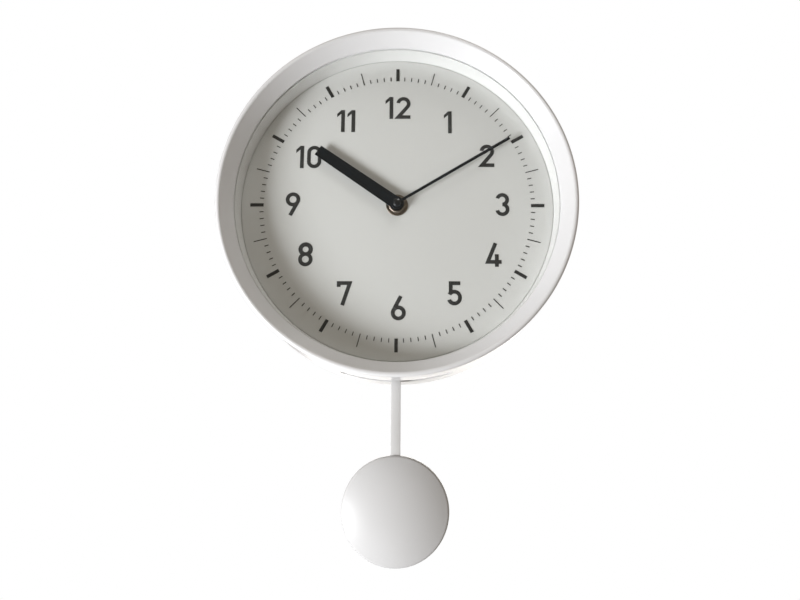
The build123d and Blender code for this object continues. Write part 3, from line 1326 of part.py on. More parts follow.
# Pendulum rod: a flat strip hooked on the leader, riveted into the bob
rod_top = HOOK_AT[1] + ROD_EYE
rod_end = BOB_Z - ROD_TUCK
with BuildPart() as pendulum_rod:
    with BuildSketch(facing(LEADER_FRONT)):
        with Locations((0, (rod_top + rod_end) / 2)):
            Rectangle(ROD_WIDTH, rod_top - rod_end)
        with Locations(HOOK_AT):
            Circle(HOOK_R + RUN_GAP, mode=Mode.SUBTRACT)
        with Locations(BOB_AT):
            Circle(BOB_RIVET_R, mode=Mode.SUBTRACT)
    extrude(amount=ROD_THICK)
save(pendulum_rod, "pendulum_rod")

# Bob: domed front shell with a rolled skirt, flat back plate and a steel weight inside
BOB_RIM = BOB_BACK + BOB_SKIRT
BOB_CREST = BOB_RIM + BOB_DOME


def dome_profile(radius, back, rim, crest, rounding):
    """Half of the bob's section beside its axis: flat back, short skirt, rounded rim and dome."""
    sphere_r = (radius**2 + (crest - rim) ** 2) / (2 * (crest - rim))
    with BuildSketch() as section:
        with BuildLine() as outline:
            Polyline((0, -back), (radius, -back), (radius, -rim))
            RadiusArc((radius, -rim), (0, -crest), sphere_r)
            Line((0, -crest), (0, -back))
        make_face(outline.edges())
        corner = section.vertices().sort_by_distance((radius, -rim, 0))[0]
        fillet(corner, rounding)
    return section.sketch


bob_plane = Plane(origin=(0, 0, BOB_Z), x_dir=(1, 0, 0), z_dir=(0, 0, 1))
bob_axis = Axis((0, 0, BOB_Z), (0, 1, 0))
bob_outer = bob_plane * dome_profile(BOB_R, BOB_BACK, BOB_RIM, BOB_CREST, BOB_ROUND)
bob_inner = bob_plane * dome_profile(
    BOB_R - BOB_SHELL, BOB_BACK, BOB_RIM - BOB_SHELL / 2, BOB_CREST - BOB_SHELL,
    BOB_ROUND - BOB_SHELL / 2,
)
with BuildPart() as bob_front_shell:
    revolve(bob_outer, axis=bob_axis)
    revolve(bob_inner, axis=bob_axis, mode=Mode.SUBTRACT)
    with BuildSketch(facing(BOB_BACK)):
        with Locations((0, BOB_Z + BOB_R)):
            Rectangle(ROD_WIDTH + 2 * HEAD_GAP, NOTCH_HEIGHT)
    extrude(amount=ROD_FRONT + THROUGH_GAP - BOB_BACK, mode=Mode.SUBTRACT)
save(bob_front_shell, "bob_front_shell")

with BuildPart() as bob_back_plate:
    with BuildSketch(facing(BOB_BACK, BOB_AT)):
        Circle(BOB_R - BOB_SHELL - TOUCH_GAP)
        Circle(BOB_RIVET_R, mode=Mode.SUBTRACT)
    extrude(amount=BOB_BACK_THICK)
save(bob_back_plate, "bob_back_plate")

with BuildPart() as bob_weight:
    with BuildSketch(facing(BOB_BACK + BOB_BACK_THICK, BOB_AT)):
        Circle(WEIGHT_R)
        Circle(BOB_RIVET_R, mode=Mode.SUBTRACT)
    extrude(amount=BOB_RECESS - BOB_BACK_THICK)
save(bob_weight, "bob_weight")

with BuildPart() as bob_rivet:
    with BuildSketch(facing(BOB_BACK - BOB_RIVET_BACK, BOB_AT)):
        Circle(BOB_RIVET_HEAD_R)
    extrude(amount=BOB_RIVET_BACK)
    with BuildSketch(facing(BOB_BACK, BOB_AT)):
        Circle(BOB_RIVET_R)
    extrude(amount=ROD_FRONT - BOB_BACK)
    with BuildSketch(facing(ROD_FRONT, BOB_AT)):
        Circle(BOB_RIVET_HEAD_R)
    extrude(amount=BOB_RIVET_FRONT)
save(bob_rivet, "bob_rivet")
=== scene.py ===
"""Pendulum wall clock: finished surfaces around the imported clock.

Everything is in metres in the clock's own frame: the wall is the plane y = 0, the clock faces -Y,
+Z is twelve o'clock and the hands turn about the Y axis. A "depth" is a distance from the wall.
"""

import math

import bpy
from bpy.props import FloatProperty, FloatVectorProperty, IntProperty, PointerProperty
from bpy.types import Operator, Panel, PropertyGroup
from mathutils import Matrix, Vector


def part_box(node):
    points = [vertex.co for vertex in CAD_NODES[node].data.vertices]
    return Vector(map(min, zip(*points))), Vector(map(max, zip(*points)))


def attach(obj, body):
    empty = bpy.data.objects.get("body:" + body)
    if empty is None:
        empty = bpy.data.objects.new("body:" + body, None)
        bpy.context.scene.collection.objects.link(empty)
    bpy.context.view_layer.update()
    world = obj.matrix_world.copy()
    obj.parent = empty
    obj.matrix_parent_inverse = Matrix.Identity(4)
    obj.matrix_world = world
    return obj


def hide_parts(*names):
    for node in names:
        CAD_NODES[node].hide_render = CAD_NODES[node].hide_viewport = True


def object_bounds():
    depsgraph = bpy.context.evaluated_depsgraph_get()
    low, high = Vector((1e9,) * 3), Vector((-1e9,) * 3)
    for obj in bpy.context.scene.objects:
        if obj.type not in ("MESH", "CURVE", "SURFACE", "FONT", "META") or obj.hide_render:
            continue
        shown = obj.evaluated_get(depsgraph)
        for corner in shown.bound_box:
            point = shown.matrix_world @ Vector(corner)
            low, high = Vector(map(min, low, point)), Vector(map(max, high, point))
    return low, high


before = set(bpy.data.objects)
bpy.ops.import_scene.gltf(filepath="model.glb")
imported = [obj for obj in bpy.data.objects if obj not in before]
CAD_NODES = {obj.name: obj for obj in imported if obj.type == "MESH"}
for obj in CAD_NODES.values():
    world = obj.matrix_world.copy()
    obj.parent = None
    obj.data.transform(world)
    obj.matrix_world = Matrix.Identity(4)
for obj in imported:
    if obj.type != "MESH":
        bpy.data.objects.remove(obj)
cad_low, cad_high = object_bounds()

bl_info = {
    "name": "Pendulum Wall Clock",
    "version": (1, 0, 0),
    "blender": (4, 5, 0),
    "location": "3D View > Sidebar > Clock",
    "description": "Models and finishes the pieces of a pendulum wall clock",
    "category": "Object",
}

MM = 0.001
POLE = 0.01 * MM      # radius that stands for a turned piece's pole
HOUR_ANGLE = 304.9    # degrees clockwise from twelve
MINUTE_ANGLE = 58.8
BRASS = (0.55, 0.38, 0.16)
FLOOR_SIZE = 3.4
FLOOR_AHEAD = 0.9     # floor's middle in front of the wall


# ---------------------------------------------------------------- sizes and colours

def length(name, description, default):
    """A size property in metres."""
    return FloatProperty(
        name=name, description=description, default=default, min=0.0, subtype="DISTANCE", unit="LENGTH"
    )


def colour(name, description, default):
    """A linear colour property."""
    return FloatVectorProperty(
        name=name, description=description, default=default, size=3, min=0.0, max=1.0, subtype="COLOR"
    )


def position(name, description, default):
    """A coordinate property in metres, which may lie below zero."""
    return FloatProperty(
        name=name, description=description, default=default, subtype="DISTANCE", unit="LENGTH"
    )


def rotation(name, description, default):
    """An angle property in radians."""
    return FloatProperty(
        name=name, description=description, default=default, subtype="ANGLE", unit="ROTATION"
    )


def power(name, description, default):
    """A lamp's power in watts."""
    return FloatProperty(name=name, description=description, default=default, unit="POWER")


def node_radius(node):
    """Half of a round node's width."""
    low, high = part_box(node)
    return (high.x - low.x) / 2


def node_depths(node):
    """How far a node's back and front are from the wall."""
    low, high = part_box(node)
    return -high.y, -low.y


class CaseSettings(PropertyGroup):
    wall_back: length(
        "Radius at the wall", "Side wall's radius where it meets the wall", node_radius("case_shell")
    )
    depth: length("Depth", "Wall to the front of the lip", node_depths("case_shell")[1])
    taper: length("Taper", "How much narrower the side wall is at the lip", 3.1 * MM)
    lip_width: length("Lip width", "Width of the rounded lip", 3.5 * MM)
    lip_round: length("Lip height", "How far the lip's crest stands over its outer shoulder", 2.7 * MM)
    inner_drop: length("Inner shoulder", "How far the crest stands over the inner shoulder", 1.2 * MM)
    bezel_width: length("Bezel width", "Radial width of the sloping bezel", 6.1 * MM)
    bezel_drop: length("Bezel drop", "Depth from the lip's inner shoulder to the ledge", 8.3 * MM)
    ledge: length("Ledge", "Thickness of the ledge in front of the lens", 1.2 * MM)
    wall: length("Wall", "Thickness of the side wall", 2.5 * MM)
    skirt: length("Skirt", "Thickness of the inner skirt", 1.6 * MM)
    hollow: length("Hollow", "Depth of the hollow between side wall and skirt", 52 * MM)
    lens_gap: length("Lens gap", "Gap round the lens", 0.3 * MM)
    wall_edge: length("Wall edge", "Chamfer where the side wall meets the wall", 0.5 * MM)
    ring_overhang: length("Ring overhang", "How far the inner ring reaches in past the ledge", 1.1 * MM)
    ring_slope: length("Ring slope", "How much wider the inner ring is at its front", 0.87 * MM)
    slot_half: length("Slot half length", "Half of the pendulum slot's length", 37.5 * MM)
    slot_width: length("Slot width", "Pendulum slot's width", 9.5 * MM)
    slot_back: length("Slot start", "Depth of the slot's edge nearer the wall", 23.5 * MM)
    segments: IntProperty(
        name="Segments", description="Steps around a large turned piece", default=256, min=64
    )
    paint: colour("Case colour", "Lacquer of the case", (0.70, 0.70, 0.71))
    ring: colour("Ring colour", "Ring between dial and lens", (0.74, 0.74, 0.73))
    cover: colour("Cover colour", "Rear cover's plastic", (0.70, 0.70, 0.68))


class DialSettings(PropertyGroup):
    paper: colour("Dial colour", "Ground of the dial", (0.645, 0.65, 0.635))
    ink: colour("Ink colour", "Print of the numerals and marks", (0.012, 0.013, 0.013))
    groove_inset: length("Groove inset", "From the dial's edge in to its groove", 3.75 * MM)
    groove_width: length("Groove width", "Width of the groove around the dial", 0.5 * MM)
    groove_depth: length("Groove depth", "Depth of the groove around the dial", 0.55 * MM)
    bushing_lip: length("Bushing lip", "Width of the flange round the bushing's back", 1.5 * MM)
    bore_gap: length("Bore gap", "Gap between the dial and the bushing", 0.15 * MM)
    washer_bore: length("Washer bore", "Radius of the washer's hole", 4.15 * MM)
    washer_rim: length("Washer rim", "Width of the washer's raised rim", 1.1 * MM)
    washer_recess: length("Washer recess", "Depth of the washer inside its rim", 0.15 * MM)
    nut_bore: length("Nut bore", "Radius of the nut's hole", 4.0 * MM)
    nut_edge: length("Nut edge", "Chamfer of the nut's edges", 0.5 * MM)
    notch_width: length("Notch width", "Width of the notch across the nut", 1.2 * MM)
    notch_depth: length("Notch depth", "Depth of the notch across the nut", 0.8 * MM)
    bronze: colour("Nut colour", "Washer and nut in the middle of the dial", (0.24, 0.205, 0.17))


class HandSettings(PropertyGroup):
    lacquer: colour("Hand colour", "Lacquer of the hands", (0.005, 0.008, 0.011))
    edge: length("Edge", "Rounding of the hands' edges", 0.18 * MM)
    hour_root: length("Hour hand root", "Hour hand's width at the middle", 8.6 * MM)
    hour_tip: length("Hour hand tip", "Hour hand's width at the tip", 7.6 * MM)
    hour_hub: length("Hour hub", "Radius of the hour hand's hub", 4.7 * MM)
    minute_root: length("Minute hand root", "Minute hand's width at the middle", 1.8 * MM)
    minute_tip: length("Minute hand tip", "Minute hand's width at the tip", 2.0 * MM)
    minute_hub: length("Minute hub", "Radius of the minute hand's hub", 4.4 * MM)
    cap_rim: length("Cap rim", "Height of the cap's straight rim", 0.5 * MM)


class PendulumSettings(PropertyGroup):
    rod: colour("Rod colour", "Lacquer of the rod", (0.62, 0.62, 0.62))
    bob: colour("Bob colour", "Lacquer of the bob", (0.57, 0.57, 0.575))
    skirt: length("Bob skirt", "Width of the bob's straight rim", 4.6 * MM)
    rounding: length("Bob rounding", "Rounding between rim and dome", 1.6 * MM)
    shell: length("Bob wall", "Thickness of the bob's shell", 0.9 * MM)
    rim_edge: length("Rim edge", "Chamfer of the rim's back edge", 0.15 * MM)
    notch_gap: length("Notch gap", "Gap between the rod and its notch in the bob", 0.2 * MM)
    notch_reach: length("Notch reach", "How far the notch reaches in from the bob's rim", 4 * MM)
    plate_bore: length("Plate bore", "Radius of the back plate's hole", 1.5 * MM)
    plate_recess: length("Plate recess", "Depth of the ring pressed into the back plate", 0.2 * MM)


class StageSettings(PropertyGroup):
    lens: FloatProperty(
        name="Lens", description="Focal length", default=27.6, unit="CAMERA", subtype="DISTANCE_CAMERA"
    )
    camera_x: position("Camera X", "Camera beside the hands' axis", 0.0065)
    camera_z: position("Camera Z", "Camera above the hands' axis", -0.1323)
    camera_gap: length("Camera distance", "Dial face to camera", 0.4013)
    tilt: rotation("Tilt", "Camera tilt upwards", 0.1657)
    turn: rotation("Turn", "Camera turn to the left", 0.0102)
    roll: rotation("Roll", "Camera roll", 0.0060)
    key_power: power("Key light", "Power of the light low on the left", 12.3)
    fill_power: power("Fill light", "Power of the light above", 4.2)
    back_power: power("Back light", "Power of the light behind the clock", 7.0)
    bounce_power: power("Bounce light", "Power of the light from below", 1.2)
    ambient: FloatProperty(name="Ambient", description="Strength of the room's light", default=0.20, min=0.0)
    room: colour("Room colour", "Tint of the room's light", (1.0, 0.82, 0.60))
    floor_drop: length("Floor drop", "From the bob's lowest point down to the floor", 0.8)
    floor: colour("Floor colour", "Pale floor", (0.84, 0.87, 0.92))


SETTINGS = {
    "clock_case": CaseSettings,
    "clock_dial": DialSettings,
    "clock_hands": HandSettings,
    "clock_pendulum": PendulumSettings,
    "clock_stage": StageSettings,
}

# Each lamp's name, place, aim, width, height, power setting and tint
LAMPS = (
    ("Key", (-0.74, -0.50, -0.44), (0, 0, -0.02), 0.32, 0.32, "key_power", (0.965, 0.98, 1.0)),
    ("Back", (0.15, 1.0, 0.15), (0, 0, -0.05), 0.9, 0.9, "back_power", (1.0, 0.99, 0.97)),
    ("Bounce", (-0.30, -0.50, -0.75), (0, 0, -0.08), 0.7, 0.5, "bounce_power", (0.97, 0.98, 1.0)),
    ("Fill", (0.30, -0.60, 1.0), (0, 0, -0.06), 0.5, 0.5, "fill_power", (0.99, 1.0, 1.0)),
)


# ---------------------------------------------------------------- modelling helpers

def leave_edit():
    """Goes back to object mode."""
    if bpy.context.object and bpy.context.object.mode != "OBJECT":
        bpy.ops.object.mode_set(mode="OBJECT")


def deselect_all():
    """Leaves nothing selected."""
    leave_edit()
    bpy.ops.object.select_all(action="DESELECT")


def pick(piece):
    """Makes a piece the only selected and the active one."""
    deselect_all()
    piece.select_set(True)
    bpy.context.view_layer.objects.active = piece


def settle(name):
    """Names the new primitive and puts its place into its mesh."""
    piece = bpy.context.object
    piece.name = name
    piece.data.name = name
    bpy.ops.object.transform_apply(location=True, rotation=True, scale=True)
    return piece


def start_circle(name, at, depth, radius, segments):
    """A ring of edges that faces the viewer, about the axis through at = (x, z)."""
    deselect_all()
    bpy.ops.mesh.primitive_circle_add(
        vertices=segments, radius=radius, location=(at[0], -depth, at[1]), rotation=(math.pi / 2, 0, 0)
    )
    return settle(name)


def start_disc(name, at, back, front, radius, segments=64):
    """A cylinder that faces the viewer, from one depth to another."""
    deselect_all()
    bpy.ops.mesh.primitive_cylinder_add(
        vertices=segments, radius=radius, depth=front - back,
        location=(at[0], -(back + front) / 2, at[1]), rotation=(math.pi / 2, 0, 0),
    )
    return settle(name)


def start_block(name, low, high):
    """A block between two corners."""
    deselect_all()
    middle = (Vector(low) + Vector(high)) / 2
    size = Vector(high) - Vector(low)
    bpy.ops.mesh.primitive_cube_add(size=1, location=middle, scale=size)
    return settle(name)


def turn_profile(name, outline, at=(0.0, 0.0), segments=256, closed=True):
    """A turned piece: a circle is extruded and scaled from one (radius, depth) to the next.

    A closed outline's last ring is joined to its first.
    """
    radius, depth = outline[0]
    piece = start_circle(name, at, depth, radius, segments)
    bpy.ops.object.mode_set(mode="EDIT")
    bpy.ops.mesh.select_mode(type="EDGE")
    bpy.ops.mesh.select_all(action="SELECT")
    for new_radius, new_depth in outline[1:]:
        bpy.ops.mesh.extrude_edges_move(
            TRANSFORM_OT_translate={"value": (0, depth - new_depth, 0)}
        )
        ratio = new_radius / radius
        bpy.ops.transform.resize(value=(ratio, 1, ratio), center_override=(at[0], -new_depth, at[1]))
        radius, depth = new_radius, new_depth
    if closed:
        bpy.ops.mesh.select_all(action="DESELECT")
        bpy.ops.mesh.select_non_manifold(extend=False)
        bpy.ops.mesh.bridge_edge_loops()
    bpy.ops.mesh.select_all(action="SELECT")
    bpy.ops.mesh.normals_make_consistent(inside=False)
    bpy.ops.object.mode_set(mode="OBJECT")
    return piece


def close_poles(piece):
    """Draws the tiny open rings at a turned solid's poles together into one point each."""
    pick(piece)
    bpy.ops.object.mode_set(mode="EDIT")
    bpy.ops.mesh.select_all(action="SELECT")
    bpy.ops.mesh.remove_doubles(threshold=3 * POLE)
    bpy.ops.mesh.normals_make_consistent(inside=False)
    bpy.ops.object.mode_set(mode="OBJECT")


def through_points(first, crest, last, steps):
    """Points of the arc through three points, without the first."""
    (ax, ay), (bx, by), (cx, cy) = first, crest, last
    d = 2 * (ax * (by - cy) + bx * (cy - ay) + cx * (ay - by))
    a2, b2, c2 = ax * ax + ay * ay, bx * bx + by * by, cx * cx + cy * cy
    ux = (a2 * (by - cy) + b2 * (cy - ay) + c2 * (ay - by)) / d
    uy = (a2 * (cx - bx) + b2 * (ax - cx) + c2 * (bx - ax)) / d
    radius = math.hypot(ax - ux, ay - uy)
    start = math.atan2(ay - uy, ax - ux)
    end = math.atan2(cy - uy, cx - ux)
    if end < start:
        end += 2 * math.pi
    return [
        (ux + radius * math.cos(start + (end - start) * k / steps),
         uy + radius * math.sin(start + (end - start) * k / steps))
        for k in range(1, steps + 1)
    ]


def boolean(piece, tool, operation):
    """Joins a tool to a piece or cuts it away, and removes the tool."""
    pick(piece)
    step = piece.modifiers.new("Join", "BOOLEAN")
    step.operation = operation
    step.solver = "EXACT"
    step.object = tool
    bpy.ops.object.modifier_apply(modifier=step.name)
    bpy.data.objects.remove(tool)


def soften(piece, width, segments=3, angle=35):
    """Rounds the sharp edges and smooths the rest."""
    pick(piece)
    step = piece.modifiers.new("Round", "BEVEL")
    step.width = width
    step.segments = segments
    step.limit_method = "ANGLE"
    step.angle_limit = math.radians(angle)
    step.use_clamp_overlap = True
    bpy.ops.object.modifier_apply(modifier=step.name)
    smooth(piece, angle)


def smooth(piece, angle=35):
    """Smooths the faces that meet at less than an angle in degrees."""
    pick(piece)
    bpy.ops.object.shade_smooth_by_angle(angle=math.radians(angle))


def finish_piece(piece, material, body, node):
    """Gives a modelled piece its finish and its body, and hides the CAD node that it stands for."""
    piece.data.materials.clear()
    piece.data.materials.append(material)
    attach(piece, body)
    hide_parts(node)


def coat_nodes(material, *nodes):
    """Gives carried-over CAD nodes their finish."""
    for node in nodes:
        mesh = CAD_NODES[node].data
        mesh.materials.clear()
        mesh.materials.append(material)


# ---------------------------------------------------------------- shader groups

def new_group(name, inputs, outputs):
    """An empty shader group with named float, colour and vector sockets."""
    group = bpy.data.node_groups.new(name, "ShaderNodeTree")
    kinds = {"v": "NodeSocketVector", "f": "NodeSocketFloat", "c": "NodeSocketColor"}
    for socket, kind, default in inputs:
        made = group.interface.new_socket(name=socket, in_out="INPUT", socket_type=kinds[kind])
        if default is not None:
            made.default_value = default
    for socket, kind in outputs:
        group.interface.new_socket(name=socket, in_out="OUTPUT", socket_type=kinds[kind])
    return group, group.nodes.new("NodeGroupInput"), group.nodes.new("NodeGroupOutput")


def add_math(tree, operation, first, second=None):
    """Adds a math node on sockets or numbers."""
    node = tree.nodes.new("ShaderNodeMath")
    node.operation = operation
    for socket, value in zip(node.inputs, (first, second)):
        if value is None:
            continue
        if isinstance(value, (int, float)):
            socket.default_value = value
        else:
            tree.links.new(value, socket)
    return node.outputs[0]


def add_noise(tree, vector, scale, detail, roughness=0.5):
    """Adds a noise texture, its scale a socket or a number."""
    node = tree.nodes.new("ShaderNodeTexNoise")
    node.inputs["Detail"].default_value = detail
    node.inputs["Roughness"].default_value = roughness
    tree.links.new(vector, node.inputs["Vector"])
    if isinstance(scale, (int, float)):
        node.inputs["Scale"].default_value = scale
    else:
        tree.links.new(scale, node.inputs["Scale"])
    return node.outputs["Fac"]


def make_grain_group():
    """Fine surface grain of lacquer or moulded plastic: a height and a slow drift of tone."""
    group, source, sink = new_group(
        "Fine grain",
        [("Vector", "v", None), ("Grain Scale", "f", 900.0), ("Drift Scale", "f", 14.0)],
        [("Height", "f"), ("Drift", "f")],
    )
    fine = add_noise(group, source.outputs["Vector"], source.outputs["Grain Scale"], 3.0, 0.6)
    slow = add_noise(group, source.outputs["Vector"], source.outputs["Drift Scale"], 2.0, 0.5)
    group.links.new(fine, sink.inputs["Height"])
    group.links.new(slow, sink.inputs["Drift"])
    return group


def make_dust_group():
    """Sparse specks of dust and faint rubs, as one mask."""
    group, source, sink = new_group(
        "Dust and rubs",
        [("Vector", "v", None), ("Speck Scale", "f", 420.0), ("Amount", "f", 0.5)],
        [("Mask", "f")],
    )
    cells = group.nodes.new("ShaderNodeTexVoronoi")
    group.links.new(source.outputs["Vector"], cells.inputs["Vector"])
    group.links.new(source.outputs["Speck Scale"], cells.inputs["Scale"])
    speck = add_math(group, "LESS_THAN", cells.outputs["Distance"], 0.12)
    patch = add_noise(group, source.outputs["Vector"], 30.0, 4.0, 0.65)
    where = add_math(group, "GREATER_THAN", patch, 0.58)
    mask = add_math(group, "MULTIPLY", speck, where)
    rub = add_math(group, "MULTIPLY", add_math(group, "SUBTRACT", patch, 0.45), 0.5)
    total = add_math(group, "ADD", mask, add_math(group, "MAXIMUM", rub, 0.0))
    group.links.new(add_math(group, "MULTIPLY", total, source.outputs["Amount"]), sink.inputs["Mask"])
    return group


def make_rings_group():
    """Concentric tool marks about the Y axis through the vector's origin."""
    group, source, sink = new_group(
        "Turned rings", [("Vector", "v", None), ("Pitch", "f", 9000.0)], [("Height", "f"), ("Tone", "f")]
    )
    split = group.nodes.new("ShaderNodeSeparateXYZ")
    group.links.new(source.outputs["Vector"], split.inputs[0])
    across = add_math(group, "MULTIPLY", split.outputs["X"], split.outputs["X"])
    upward = add_math(group, "MULTIPLY", split.outputs["Z"], split.outputs["Z"])
    radius = add_math(group, "SQRT", add_math(group, "ADD", across, upward))
    wave = add_math(group, "SINE", add_math(group, "MULTIPLY", radius, source.outputs["Pitch"]))
    drift = add_noise(group, source.outputs["Vector"], 500.0, 2.0)
    height = add_math(group, "MULTIPLY", wave, drift)
    group.links.new(height, sink.inputs["Height"])
    group.links.new(add_math(group, "MULTIPLY_ADD", height, 0.5), sink.inputs["Tone"])
    return group


def make_brush_group():
    """Long thin scratches of brushed or drawn metal along X."""
    group, source, sink = new_group(
        "Brushed lines", [("Vector", "v", None), ("Line Scale", "f", 700.0)], [("Height", "f")]
    )
    stretch = group.nodes.new("ShaderNodeMapping")
    stretch.inputs["Scale"].default_value = (0.03, 1.0, 1.0)
    group.links.new(source.outputs["Vector"], stretch.inputs["Vector"])
    lines = add_noise(group, stretch.outputs["Vector"], source.outputs["Line Scale"], 4.0, 0.6)
    group.links.new(lines, sink.inputs["Height"])
    return group


# ---------------------------------------------------------------- materials

def place_group(tree, name, vector, values):
    """Places a shared group in a material with its own values."""
    node = tree.nodes.new("ShaderNodeGroup")
    node.node_tree = bpy.data.node_groups[name]
    tree.links.new(vector, node.inputs["Vector"])
    for socket, value in values.items():
        node.inputs[socket].default_value = value
    return node


def mix_colours(tree, factor, first, second):
    """Mixes two colours, each a socket or a tuple."""
    node = tree.nodes.new("ShaderNodeMix")
    node.data_type = "RGBA"
    tree.links.new(factor, node.inputs["Factor"])
    for socket, value in ((node.inputs[6], first), (node.inputs[7], second)):
        if isinstance(value, bpy.types.NodeSocket):
            tree.links.new(value, socket)
        else:
            socket.default_value = (*value, 1.0)
    return node.outputs[2]


def map_range(tree, value, low, high, new_low, new_high):
    """Maps a value from one range to another."""
    node = tree.nodes.new("ShaderNodeMapRange")
    tree.links.new(value, node.inputs["Value"])
    for socket, number in (("From Min", low), ("From Max", high), ("To Min", new_low), ("To Max", new_high)):
        node.inputs[socket].default_value = number
    return node.outputs["Result"]


def new_material(name):
    """A material with its node tree, its shader and the Object coordinates."""
    material = bpy.data.materials.new(name)
    material.use_nodes = True
    tree = material.node_tree
    shader = tree.nodes["Principled BSDF"]
    vector = tree.nodes.new("ShaderNodeTexCoord").outputs["Object"]
    return material, tree, shader, vector


def bump(tree, shader, height, strength, distance):
    """Raises the surface by a height."""
    node = tree.nodes.new("ShaderNodeBump")
    node.inputs["Strength"].default_value = strength
    node.inputs["Distance"].default_value = distance
    tree.links.new(height, node.inputs["Height"])
    tree.links.new(node.outputs["Normal"], shader.inputs["Normal"])


def scaled(colour_value, factor):
    """A colour made lighter or darker."""
    return tuple(min(1.0, channel * factor) for channel in colour_value)


def lacquer(name, base, rough, grain=1100.0, grain_height=0.02, coat=0.0, dust=0.35, drift=0.03, sheen=0.5):
    """Sprayed lacquer or moulded plastic with grain, slight drift of tone, dust and rubs."""
    material, tree, shader, vector = new_material(name)
    grain_node = place_group(tree, "Fine grain", vector, {"Grain Scale": grain, "Drift Scale": 12.0})
    dust_node = place_group(tree, "Dust and rubs", vector, {"Amount": dust})
    toned = mix_colours(
        tree, grain_node.outputs["Drift"], scaled(base, 1 - drift), scaled(base, 1 + drift)
    )
    worn = mix_colours(tree, dust_node.outputs["Mask"], toned, scaled(base, 0.9))
    tree.links.new(worn, shader.inputs["Base Color"])
    even = map_range(tree, grain_node.outputs["Drift"], 0.3, 0.7, rough - 0.04, rough + 0.05)
    matt = add_math(tree, "MULTIPLY", dust_node.outputs["Mask"], 0.25)
    tree.links.new(add_math(tree, "ADD", even, matt), shader.inputs["Roughness"])
    shader.inputs["Specular IOR Level"].default_value = sheen
    shader.inputs["Coat Weight"].default_value = coat
    shader.inputs["Coat Roughness"].default_value = 0.12
    bump(tree, shader, grain_node.outputs["Height"], 0.35, grain_height * MM)
    return material


def metal(name, base, rough, group="Brushed lines", height=0.004, tarnish=0.25):
    """Bare metal with brushed lines or turned rings and a little tarnish."""
    material, tree, shader, vector = new_material(name)
    shader.inputs["Metallic"].default_value = 1.0
    marks = place_group(tree, group, vector, {})
    grain_node = place_group(tree, "Fine grain", vector, {"Grain Scale": 400.0, "Drift Scale": 90.0})
    toned = mix_colours(tree, grain_node.outputs["Drift"], scaled(base, 1.12), scaled(base, 1 - tarnish))
    tree.links.new(toned, shader.inputs["Base Color"])
    tree.links.new(
        map_range(tree, grain_node.outputs["Drift"], 0.3, 0.7, rough - 0.06, rough + 0.1),
        shader.inputs["Roughness"],
    )
    bump(tree, shader, marks.outputs["Height"], 0.4, height * MM)
    return material


def clear_lens_material():
    """Clear mineral lens: lamps shine straight through it and the eye sees its sheen."""
    material, tree, shader, vector = new_material("Clear lens")
    shader.inputs["Base Color"].default_value = (0.985, 0.99, 0.99, 1.0)
    shader.inputs["Transmission Weight"].default_value = 1.0
    shader.inputs["IOR"].default_value = 1.35
    smear = place_group(tree, "Dust and rubs", vector, {"Speck Scale": 260.0, "Amount": 0.06})
    tree.links.new(smear.outputs["Mask"], shader.inputs["Roughness"])
    path = tree.nodes.new("ShaderNodeLightPath")
    passes = add_math(tree, "MAXIMUM", path.outputs["Is Shadow Ray"], path.outputs["Is Diffuse Ray"])
    through = tree.nodes.new("ShaderNodeBsdfTransparent")
    through.inputs["Color"].default_value = (0.97, 0.975, 0.975, 1.0)
    blend = tree.nodes.new("ShaderNodeMixShader")
    tree.links.new(passes, blend.inputs["Fac"])
    tree.links.new(shader.outputs[0], blend.inputs[1])
    tree.links.new(through.outputs[0], blend.inputs[2])
    tree.links.new(blend.outputs[0], tree.nodes["Material Output"].inputs["Surface"])
    return material


def copper_coil_material():
    """Enamelled wire wound side by side."""
    material, tree, shader, vector = new_material("Copper winding")
    wave = tree.nodes.new("ShaderNodeTexWave")
    wave.inputs["Scale"].default_value = 900.0
    wave.inputs["Distortion"].default_value = 0.6
    tree.links.new(vector, wave.inputs["Vector"])
    toned = mix_colours(tree, wave.outputs["Fac"], (0.28, 0.075, 0.025), (0.62, 0.2, 0.07))
    tree.links.new(toned, shader.inputs["Base Color"])
    shader.inputs["Metallic"].default_value = 0.85
    shader.inputs["Roughness"].default_value = 0.35
    bump(tree, shader, wave.outputs["Fac"], 0.6, 0.05 * MM)
    return material


def board_material():
    """Green circuit board with paler tracks."""
    material, tree, shader, vector = new_material("Circuit board")
    cells = tree.nodes.new("ShaderNodeTexVoronoi")
    cells.feature = "DISTANCE_TO_EDGE"
    cells.inputs["Scale"].default_value = 260.0
    tree.links.new(vector, cells.inputs["Vector"])
    track = add_math(tree, "LESS_THAN", cells.outputs["Distance"], 0.06)
    toned = mix_colours(tree, track, (0.012, 0.09, 0.035), (0.05, 0.22, 0.09))
    tree.links.new(toned, shader.inputs["Base Color"])
    shader.inputs["Roughness"].default_value = 0.3
    bump(tree, shader, track, 0.3, 0.03 * MM)
    return material


def cell_material():
    """Plain two-tone battery jacket: dark body, copper-coloured band at the positive end."""
    material, tree, shader, vector = new_material("Battery jacket")
    split = tree.nodes.new("ShaderNodeSeparateXYZ")
    tree.links.new(vector, split.inputs[0])
    low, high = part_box("battery_aa")
    band = add_math(tree, "GREATER_THAN", split.outputs["X"], high.x - (high.x - low.x) * 0.3)
    toned = mix_colours(tree, band, (0.02, 0.022, 0.026), (0.55, 0.24, 0.08))
    tree.links.new(toned, shader.inputs["Base Color"])
    tree.links.new(map_range(tree, band, 0, 1, 0.35, 0.25), shader.inputs["Roughness"])
    tree.links.new(map_range(tree, band, 0, 1, 0.1, 0.9), shader.inputs["Metallic"])
    grain_node = place_group(tree, "Fine grain", vector, {"Grain Scale": 700.0, "Drift Scale": 30.0})
    bump(tree, shader, grain_node.outputs["Height"], 0.15, 0.01 * MM)
    return material


# ---------------------------------------------------------------- operators

